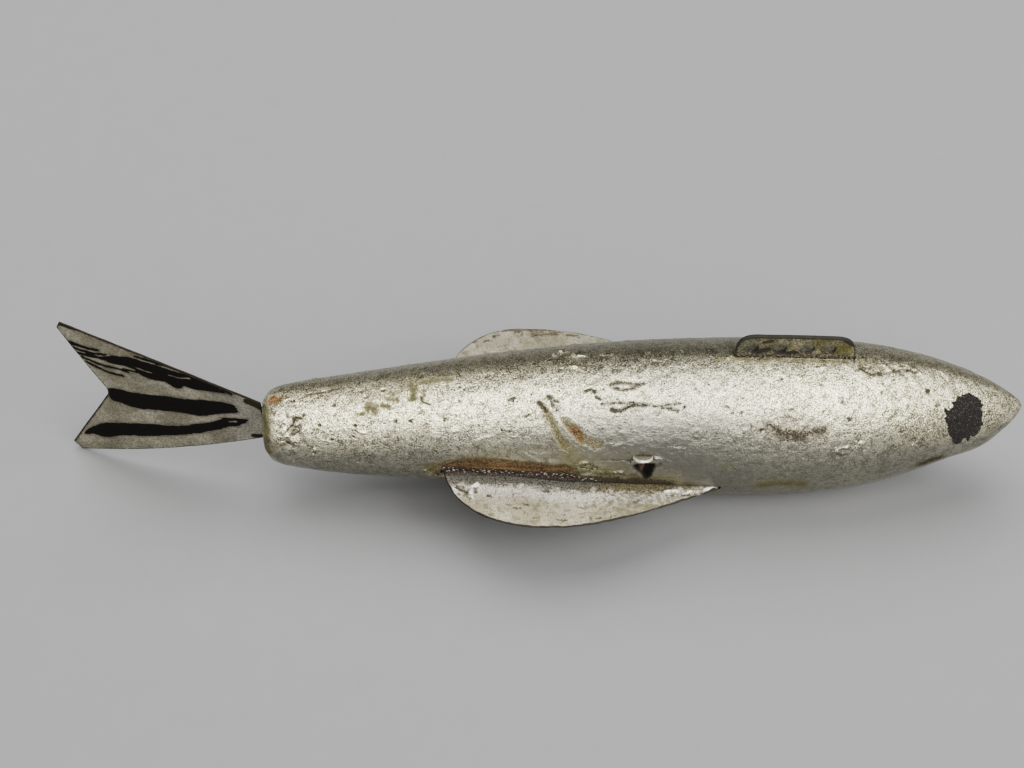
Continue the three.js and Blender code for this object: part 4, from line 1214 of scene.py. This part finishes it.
def makeFin(side, name, node, material):
    # the flat outline thickened, with waves and raised paint added to its heights, then carried
    # into its kerf; chips, raised paint and crust lie on the upper face only
    flat = finPatch(side)
    places, heights, faces = sheetMesh(flat, fins["thickness"], 0.12)
    inSpace = lifted(places, 5 * side)
    outer = smooth(places[:, 1], 0, 3)
    waves = outer * (0.16 * valueNoise(inSpace, 11, 81) + 0.03 * roughness(inSpace, 2.0, 83))
    edge = rimDistance(places, flat)
    ridges = sum(mound(places, *ridge) for ridge in finLook["ridges"][side])
    chips = strokeDepth(places, finLook["chips"][side])
    crust = lineAt(finLook["crustEnds"][side], places[:, 0]) - places[:, 1]
    ridges *= np.clip(1 + 1.2 * roughness(inSpace, 0.8, 87, 2), 0.3, 1.5)
    crusty = smooth(crust, -0.1, 0.3) * (0.35 + 0.3 * roughness(inSpace, 1.1, 89, 2)) * (side < 0)
    crusty += 0.7 * smooth(crust, 0.2, 2.2) * (side < 0)
    skin = np.where(heights > 0, ridges + crusty - 0.08 * smooth(chips, -0.1, 0.1), 0)
    edgeNicks = 0.1 * roughness(inSpace, 2.4, 85) * np.exp(-edge / 1.2) * outer
    shifted = places + np.stack([0 * edgeNicks, edgeNicks], -1)
    points = finPoint(side, shifted, heights + waves + skin)
    fields = {
        "edge": edge,
        "chips": np.where(heights > 0, chips, farOutside),
        "kerfBand": lineAt(finLook["shadowAndDirtEnds"][side], places[:, 0]) - places[:, 1],
        "front": smooth(places[:, 0], 22, 34) * (side < 0),
        "crust": np.where(heights > 0, crust, farOutside),
        "seam": smooth(places[:, 0], 11, 15) * (1 - smooth(places[:, 0], 40, 43)),
        "ridge": np.minimum(ridges / 0.25, 1),
        # 1 on the left fin, which takes the painted shade
        "leftFinShade": np.full(len(places), float(side > 0)),
    }
    makePiece(name, points + fishPlace, faces, material, node, fields, 60)


def finPaint():
    # cream silver paint on sheet, dark along the rim, dirty and crusted beside the kerf, with a painted
    # shadow of the body and a painted highlight along the kerf, painted highlights on raised paint, and
    # painted shade on the left fin
    look = Look("creamFinPaint")
    grain = look.noise(0.25, 3)
    fine = look.noise(0.17, 1)
    blots = look.noise(0.8, 3, distortion=0.5)
    lumps = look.noise(1.6, 4)
    patches = look.noise(7, 4)
    dots = look.plus(look.times(blots, 0.6), grain, 0.4)
    front = look.field("front")
    cream = look.tones(patches, 0.35, 0.65, (0.42, 0.38, 0.26), (0.64, 0.59, 0.44))
    # painted highlight: the cream lightened towards white just outside the band along the kerf
    cream = look.mix(look.ramp(look.field("kerfBand"), -4.0, -0.6), cream, (1.0, 0.96, 0.82))
    # painted shade: the left fin in a darker copy of the cream
    leftFinShade = look.tones(patches, 0.35, 0.65, (0.27, 0.25, 0.17), (0.42, 0.40, 0.30))
    colour = look.mix(look.field("leftFinShade"), cream, leftFinShade)
    speckle = look.plus(look.times(grain, 0.5), fine, 0.5)
    colour = look.mix(look.ramp(speckle, 0.42, 0.52, 0.9, 0), colour, (0.17, 0.15, 0.09))
    blotched = look.ramp(look.plus(lumps, grain, 0.5), 0.80, 0.90, 0, 0.7)
    blotched = look.times(blotched, look.ramp(look.field("kerfBand"), -3.0, -1.2, 1, 0))
    colour = look.mix(blotched, colour, (0.14, 0.125, 0.075))
    mottled = look.plus(blots, front, 0.12)
    colour = look.mix(look.ramp(mottled, 0.54, 0.66, 0, 0.7), colour, (0.19, 0.165, 0.085))
    pin = look.ramp(look.plus(look.spots(2.2), grain, 0.6), 0.36, 0.46, 0.8, 0)
    chips = look.most(pin, look.ragged("chips", dots, 3.2, 0.12))
    chipTone = look.tones(grain, 0.4, 0.6, (0.03, 0.025, 0.014), (0.13, 0.11, 0.07))
    colour = look.mix(chips, colour, chipTone)
    # painted shadow of the body on the fin beside the kerf, in grey, with an olive stain towards the front
    kerfShadowAndStain = look.step("kerfBand", lumps, 4.5, 1.6, 3.1)
    grey = look.tones(speckle, 0.44, 0.56, (0.016, 0.014, 0.009), (0.20, 0.187, 0.14))
    olive = look.tones(speckle, 0.44, 0.56, (0.024, 0.018, 0.006), (0.24, 0.195, 0.08))
    colour = look.mix(look.times(kerfShadowAndStain, 0.95), colour, look.mix(front, grey, olive))
    crustAt = look.plus(look.field("crust"), look.math("SUBTRACT", grain, 0.5), 1.2)
    crust = look.ramp(crustAt, -0.1, 0.1)
    crustTone = look.tones(speckle, 0.46, 0.58, (0.009, 0.005, 0.003), (0.13, 0.095, 0.06))
    oliveCrust = look.mix(speckle, (0.02, 0.015, 0.006), (0.12, 0.09, 0.03))
    crustTone = look.mix(look.times(front, 0.8), crustTone, oliveCrust)
    crumbs = look.plus(look.spots(0.75), blots, 0.55)
    crumbs = look.times(look.ramp(crumbs, 0.50, 0.62, 1, 0), look.ramp(crustAt, 0.2, 0.7))
    crumbs = look.times(crumbs, look.ramp(front, 0.2, 0.9, 1, 0.25))
    colour = look.mix(crust, colour, look.mix(crumbs, crustTone, (0.55, 0.51, 0.43)))
    seam = look.times(look.ramp(look.math("ABSOLUTE", crustAt), 0.08, 0.22, 1, 0), look.field("seam"))
    colour = look.mix(seam, colour, (0.008, 0.006, 0.004))
    # painted highlight: the raised paint ridges near white, where their crests catch the light
    ridge = look.step("ridge", grain, 2.4, 1.75, 2.1)
    colour = look.mix(ridge, colour, (0.97, 0.94, 0.84))
    rim = look.step("edge", lumps, 0.7, 0.42, 0.62, 1, 0)
    colour = look.mix(rim, colour, (0.03, 0.024, 0.015))
    dull = look.most(rim, crust, chips, kerfShadowAndStain)
    rough = look.blend(dull, look.ramp(patches, 0.3, 0.7, 0.42, 0.55), 0.85)
    reliefs = [(lumps, 0.2), (speckle, 0.12), (crumbs, 0.15)]
    return look.finish(colour, look.ramp(dull, 0, 1, 0.3, 0), rough, reliefs, specular=0.2)


# Drilled line tie

def roundedTop():
    # the plate's free outline from the rear foot over both rounded corners to the front foot
    rearTop = np.array([tie["rear"], backAt(tie["rear"]) + tie["rise"]])
    frontTop = np.array([tieFront, backAt(tieFront) + tie["rise"]])
    rearFoot = np.array([tie["rear"], tieBottom])
    frontFoot = np.array([tieFront, tieBottom])
    line = [rearFoot[None]]
    for before, corner, after, reach in (
        (rearFoot, rearTop, frontTop, tie["corners"][0]),
        (rearTop, frontTop, frontFoot, tie["corners"][1]),
    ):
        start = corner + (before - corner) * reach / np.linalg.norm(before - corner)
        end = corner + (after - corner) * reach / np.linalg.norm(after - corner)
        line.append(bezier([start, corner, end], 24))
    line.append(frontFoot[None])
    return np.concatenate(line)


def makeTie(material):
    # the plate is parted into one cell round each hole. A cell's faces run straight from the
    # hole's circle out to the cell's border; both sides and the rims are joined up after
    outline = evenly(roundedTop(), 400)
    bevel = tie["holeBevel"]
    centres = tie["rear"] + np.array(tie["holeShares"]) * tie["length"]
    heights = backAt(centres) + tie["holeRise"]
    cuts = np.concatenate([[tie["rear"]], (centres[:-1] + centres[1:]) / 2, [tieFront]])
    sideCount, topCount, rows = 40, 44, 14

    def topPart(low, high):
        # the outline's points over one cell, with one more at each of the cell's two ends
        inside = (outline[:, 0] > low) & (outline[:, 0] < high)
        span = outline[inside & (outline[:, 1] > tieBottom + 0.5)]
        ends = []
        for x in (low, high):
            column = outline[np.abs(outline[:, 0] - x) < 1e-6]
            if len(column):
                ends.append(column[column[:, 1].argmax()])
            else:
                ends.append(np.array([x, np.interp(x, outline[:, 0], outline[:, 1])]))
        return np.concatenate([[ends[0]], span, [ends[1]]])

    points, faces = [], []
    half = tie["thickness"] / 2
    for k, (x, z) in enumerate(zip(centres, heights)):
        low, high = cuts[k], cuts[k + 1]
        over = evenly(topPart(low, high), topCount)
        rightSide = evenly(np.array([[high, tieBottom], over[-1]]), sideCount)
        leftSide = evenly(np.array([[low, tieBottom], over[0]]), sideCount)
        under = np.stack([np.linspace(low, high, topCount), np.full(topCount, tieBottom)], -1)
        border = np.concatenate([under[:-1], rightSide[:-1], over[:0:-1], leftSide[:0:-1]])
        around = np.arctan2(border[:, 1] - z, border[:, 0] - x)
        circle = np.stack([np.cos(around), np.sin(around)], -1)
        middle = np.array([x, z])
        shares = np.linspace(0, 1, rows)[:, None, None]
        mouth = middle + circle * (tie["holeRadius"] + bevel)
        spread = mouth * (1 - shares) + border * shares
        wall = middle + circle * tie["holeRadius"]
        loops = [(spread[row], -half) for row in range(rows - 1, -1, -1)]
        loops += [(wall, -half + bevel), (wall, 0.0), (wall, half - bevel)]
        loops += [(spread[row], half) for row in range(rows)]
        start = sum(len(p) for p in points)
        grid = np.stack([
            np.stack([flat[:, 0], np.full(len(flat), y), flat[:, 1]], -1) for flat, y in loops
        ])
        points.append(grid.reshape(-1, 3))
        faces += (np.array(gridFaces(len(loops), len(border), around=True)) + start).tolist()
        # the outer rim, on the parts of the border that other cells don't share
        free = np.concatenate([
            np.ones(topCount - 1, bool), np.full(sideCount - 1, k == len(centres) - 1),
            np.ones(topCount - 1, bool), np.full(sideCount - 1, k == 0),
        ])
        front = start + np.arange(len(border))
        back = start + (len(loops) - 1) * len(border) + np.arange(len(border))
        rim = np.stack([front, back, np.roll(back, -1), np.roll(front, -1)], -1)[free]
        faces += rim.tolist()
    points = np.concatenate(points)
    lean = 0.05 * valueNoise(points * (1, 0, 1), 8, 91) + 0.02 * valueNoise(points * (1, 0, 1), 2.5, 92)
    points[:, 1] += lean
    flatPlaces = points[:, (0, 2)]
    top = pathDistance(flatPlaces, outline[::4])
    holes = np.min([np.linalg.norm(flatPlaces - (x, z), axis=1) for x, z in zip(centres, heights)], axis=0)
    local = flatPlaces - (tie["rear"], 0)
    local[:, 1] -= backAt(points[:, 0])
    fields = {
        "edge": top,
        "across": points[:, 1] - lean,
        "hole": holes - tie["holeRadius"],
        "yellow": patchStrength(local, tie["stains"]),
        "blotch": patchStrength(local, tie["blotches"]),
        "foot": local[:, 1],
        "forward": local[:, 0],
    }
    makePiece("lineTiePlate", points + fishPlace, faces, material, "line_tie", fields, 35)


def tieMetal():
    # dark tarnished sheet: almost black rims, rings round the holes, a yellow stain at the front
    look = Look("tieSheetMetal")
    grain = look.noise(0.4, 4)
    mottle = look.noise(1.6, 5, distortion=0.4)
    colour = look.tones(mottle, 0.35, 0.65, (0.095, 0.085, 0.05), (0.28, 0.26, 0.175))
    colour = look.mix(look.ramp(look.field("forward"), 2, 9, 0.5, 0), colour, (0.12, 0.135, 0.095))
    yellow = look.times(look.field("yellow"), look.ramp(mottle, 0.4, 0.56))
    colour = look.mix(yellow, colour, (0.11, 0.095, 0.018))
    colour = look.mix(look.ramp(grain, 0.44, 0.55, 0.7, 0), colour, (0.02, 0.016, 0.008))
    blotch = look.step("blotch", grain, 0.8, 0.8, 1.05)
    colour = look.mix(blotch, colour, (0.018, 0.011, 0.006))
    ring = look.step("hole", grain, 0.3, 0.12, 0.36, 1, 0)
    colour = look.mix(look.times(ring, 0.9), colour, (0.012, 0.010, 0.006))
    top = look.ramp(look.field("edge"), 0.02, 0.12, 1, 0)
    colour = look.mix(top, colour, look.mix(mottle, (0.012, 0.011, 0.007), (0.034, 0.032, 0.021)))
    rim = look.step("edge", grain, 0.4, 0.3, 0.5, 1, 0)
    rim = look.times(rim, look.ramp(look.math("ABSOLUTE", look.field("across")), 0.28, 0.36))
    colour = look.mix(rim, colour, (0.012, 0.011, 0.007))
    crust = look.step("foot", mottle, 1.4, 0.7, 1.5, 1, 0)
    crustTone = look.tones(grain, 0.45, 0.62, (0.03, 0.018, 0.008), (0.26, 0.23, 0.15))
    colour = look.mix(crust, colour, crustTone)
    dull = look.most(crust, blotch, ring, rim, top)
    rough = look.blend(dull, look.ramp(mottle, 0.3, 0.7, 0.32, 0.5), 0.75)
    reliefs = [(mottle, 0.2), (grain, 0.05)]
    return look.finish(colour, look.ramp(dull, 0, 1, 0.7, 0.1), rough, reliefs, specular=0.2)


# Nail over the right kerf

nail = {
    "along": 67.9,
    "height": 3.3,
    "headRadius": 1.85,
    "headThickness": 0.5,
    "shankRadius": 0.6,
    "length": 11,
    "lean": np.radians(12),
    "headTilt": np.radians(35),
    "headDrop": 0.45,
    "columns": 64,
}


def makeNail(material):
    # a profile of (radius, height) carried round the nail's own line, then dented and leaned
    radius, thick = nail["headRadius"], nail["headThickness"]
    shank, foot = nail["shankRadius"], -nail["length"]
    profile = np.array([
        (0, foot), (shank * 0.3, foot), (shank, foot + 1.6), (shank, -0.25), (shank + 0.2, 0),
        (radius - 0.08, 0), (radius, 0.1), (radius, thick - 0.14), (radius - 0.14, thick),
        (0, thick + 0.06),
    ])
    profile = evenly(profile, 150)
    around = np.linspace(0, 2 * np.pi, nail["columns"], endpoint=False)
    grid = np.stack([
        profile[:, :1] * np.cos(around), profile[:, :1] * np.sin(around),
        np.repeat(profile[:, 1:], nail["columns"], axis=1),
    ], -1)
    outOf = np.linalg.norm(grid[..., :2], axis=-1, keepdims=True)
    grid[..., :2] *= 1 + 0.035 * roughness(grid, 1.2, 95)[..., None] * (outOf > 0.7)
    grid[..., 2] += 0.05 * roughness(grid, 0.9, 97) * (grid[..., 2] > thick * 0.7)
    points = grid.reshape(-1, 3)
    inHead = smooth(points[:, 2], -0.5, 0)
    lean = nail["lean"] - nail["headTilt"] * inHead
    y = points[:, 1] * np.cos(lean) - points[:, 2] * np.sin(lean)
    z = points[:, 1] * np.sin(lean) + points[:, 2] * np.cos(lean) - nail["headDrop"] * inHead
    fields = {
        "face": smooth(outOf.ravel(), radius - 0.1, radius - 0.4) * (points[:, 2] > thick * 0.6),
        "head": smooth(points[:, 2], -0.1, 0.12),
        "far": smooth(points[:, 1], 0.3, 0.9),
    }
    side = float(sideAt(nail["along"], nail["height"]))
    placed = np.stack([points[:, 0] + nail["along"], y - side, z + nail["height"]], -1)
    faces = gridFaces(len(grid), nail["columns"], around=True)
    makePiece("slantedNail", placed + fishPlace, faces, material, "fin_nail", fields, 40)


def nailMetal():
    # silver paint over a rusty nail, worn olive on the flat of its head, with painted shade on the head's
    # far rim and a shank dark with rust and painted shade
    look = Look("nailSheetMetal")
    grain = look.noise(0.4, 4)
    lumps = look.noise(1.0, 4)
    colour = look.tones(lumps, 0.35, 0.65, (0.62, 0.58, 0.46), (0.88, 0.85, 0.74))
    worn = look.tones(grain, 0.38, 0.62, (0.045, 0.036, 0.016), (0.34, 0.31, 0.19))
    colour = look.mix(look.times(look.field("face"), 0.9), colour, worn)
    # painted shade: the far rim of the head, for the gap between the head and the body
    farRim = look.times(look.field("far"), look.math("SUBTRACT", 1, look.field("face")))
    colour = look.mix(farRim, colour, (0.02, 0.016, 0.009))
    # the shank dark brown: rust, and painted shade under the head
    shank = look.mix(grain, (0.02, 0.011, 0.006), (0.12, 0.075, 0.045))
    colour = look.mix(look.field("head"), shank, colour)
    rust = look.ramp(grain, 0.56, 0.68)
    colour = look.mix(look.times(rust, 0.8), colour, (0.04, 0.026, 0.013))
    rough = look.ramp(grain, 0.3, 0.7, 0.35, 0.6)
    return look.finish(colour, look.ramp(rust, 0, 1, 0.6, 0), rough, [(lumps, 0.12), (grain, 0.08)])


makeBody(silverWood())
makeTail(tailMetal())
finMaterial = finPaint()
makeFin(-1, "rightFin", "right_side_fin", finMaterial)
makeFin(1, "leftFin", "left_side_fin", finMaterial)
makeTie(tieMetal())
makeNail(nailMetal())
print("pieces made")


# Floor, light and camera

room = {
    "floorSize": 4.0,
    "floorColour": (0.255, 0.255, 0.257),
    "floorShade": 0.94,
    "sky": (0.62, 0.61, 0.60),
    "skyStrength": 0.14,
}
shot = {
    "lens": 54.14,
    "sensor": 36,
    "aim": np.array([-5.37, 8.31, 16.93]),
    "azimuth": np.radians(-4.27),
    "elevation": np.radians(50),
    "roll": np.radians(2.41),
    "distance": 288.75,
}
# softboxes: direction as azimuth and elevation round the aim, distance and size in metres, watts
lamps = {
    "keyLamp": {
        "azimuth": 5, "elevation": 38, "distance": 0.9, "size": (1.2, 0.54), "power": 34, "diffuse": False,
    },
    "headLamp": {"azimuth": 68, "elevation": 40, "distance": 0.9, "size": (0.6, 0.6), "power": 7},
    "windowLamp": {"azimuth": -112, "elevation": 42, "distance": 1.0, "size": (0.6, 0.6), "power": 3},
    "frontLamp": {
        "azimuth": 20, "elevation": 50, "distance": 1.0, "size": (1.2, 1.2), "power": 8, "glossy": False,
    },
    "topLamp": {
        "azimuth": -168, "elevation": 66, "distance": 0.9, "size": (0.8, 0.8), "power": 13.5,
        "glossy": False,
    },
}


def directionOf(azimuth, elevation):
    # from the aim towards a viewer: azimuth 0 stands at -Y, elevation is above the horizon
    return np.array([
        np.sin(azimuth) * np.cos(elevation), -np.cos(azimuth) * np.cos(elevation), np.sin(elevation),
    ])


def makeFloor():
    # a square round the origin at height 0, in two near greys mixed by a noise
    size = room["floorSize"] / 2
    mesh = bpy.data.meshes.new("paleFloor")
    corners = [(-size, -size, 0), (size, -size, 0), (size, size, 0), (-size, size, 0)]
    mesh.from_pydata(corners, [], [(0, 1, 2, 3)])
    look = Look("paleFloorPaint")
    dark = tuple(room["floorShade"] * c for c in room["floorColour"])
    colour = look.mix(look.noise(6, 3), dark, room["floorColour"])
    mesh.materials.append(look.finish(colour, 0, 0.9, specular=0.2))
    addObject("paleFloor", mesh)


def makeLamp(name, lamp):
    # a softbox at a distance from the aim, facing it
    light = bpy.data.lights.new(name, "AREA")
    light.shape = "RECTANGLE"
    light.size, light.size_y = lamp["size"]
    light.energy = lamp["power"]
    holder = addObject(name, light)
    away = directionOf(np.radians(lamp["azimuth"]), np.radians(lamp["elevation"]))
    holder.location = Vector(shot["aim"] * mm + away * lamp["distance"])
    holder.rotation_euler = Vector(-away).to_track_quat("-Z", "Y").to_euler()
    holder.visible_glossy = lamp.get("glossy", True)
    holder.visible_diffuse = lamp.get("diffuse", True)


def makeCamera():
    # the camera's axes: back to it from the aim, and right and up turned about that by the roll
    back = directionOf(shot["azimuth"], shot["elevation"])
    level = np.array([np.cos(shot["azimuth"]), np.sin(shot["azimuth"]), 0])
    upright = np.cross(back, level)
    cosine, sine = np.cos(shot["roll"]), np.sin(shot["roll"])
    right = level * cosine + upright * sine
    up = upright * cosine - level * sine
    camera = bpy.data.cameras.new("shotCamera")
    camera.lens = shot["lens"]
    camera.sensor_width = shot["sensor"]
    camera.clip_start = 0.01
    holder = addObject("shotCamera", camera)
    place = (shot["aim"] + back * shot["distance"]) * mm
    axes = np.eye(4)
    axes[:3, 0], axes[:3, 1], axes[:3, 2], axes[:3, 3] = right, up, back, place
    holder.matrix_world = Matrix(axes.tolist())
    bpy.context.scene.camera = holder


makeFloor()
for lampName, lampValues in lamps.items():
    makeLamp(lampName, lampValues)
makeCamera()
world = bpy.data.worlds.new("softRoom")
world.use_nodes = True
background = world.node_tree.nodes["Background"]
background.inputs["Color"].default_value = (*room["sky"], 1)
background.inputs["Strength"].default_value = room["skyStrength"]
bpy.context.scene.world = world
print("floor, light and camera set")
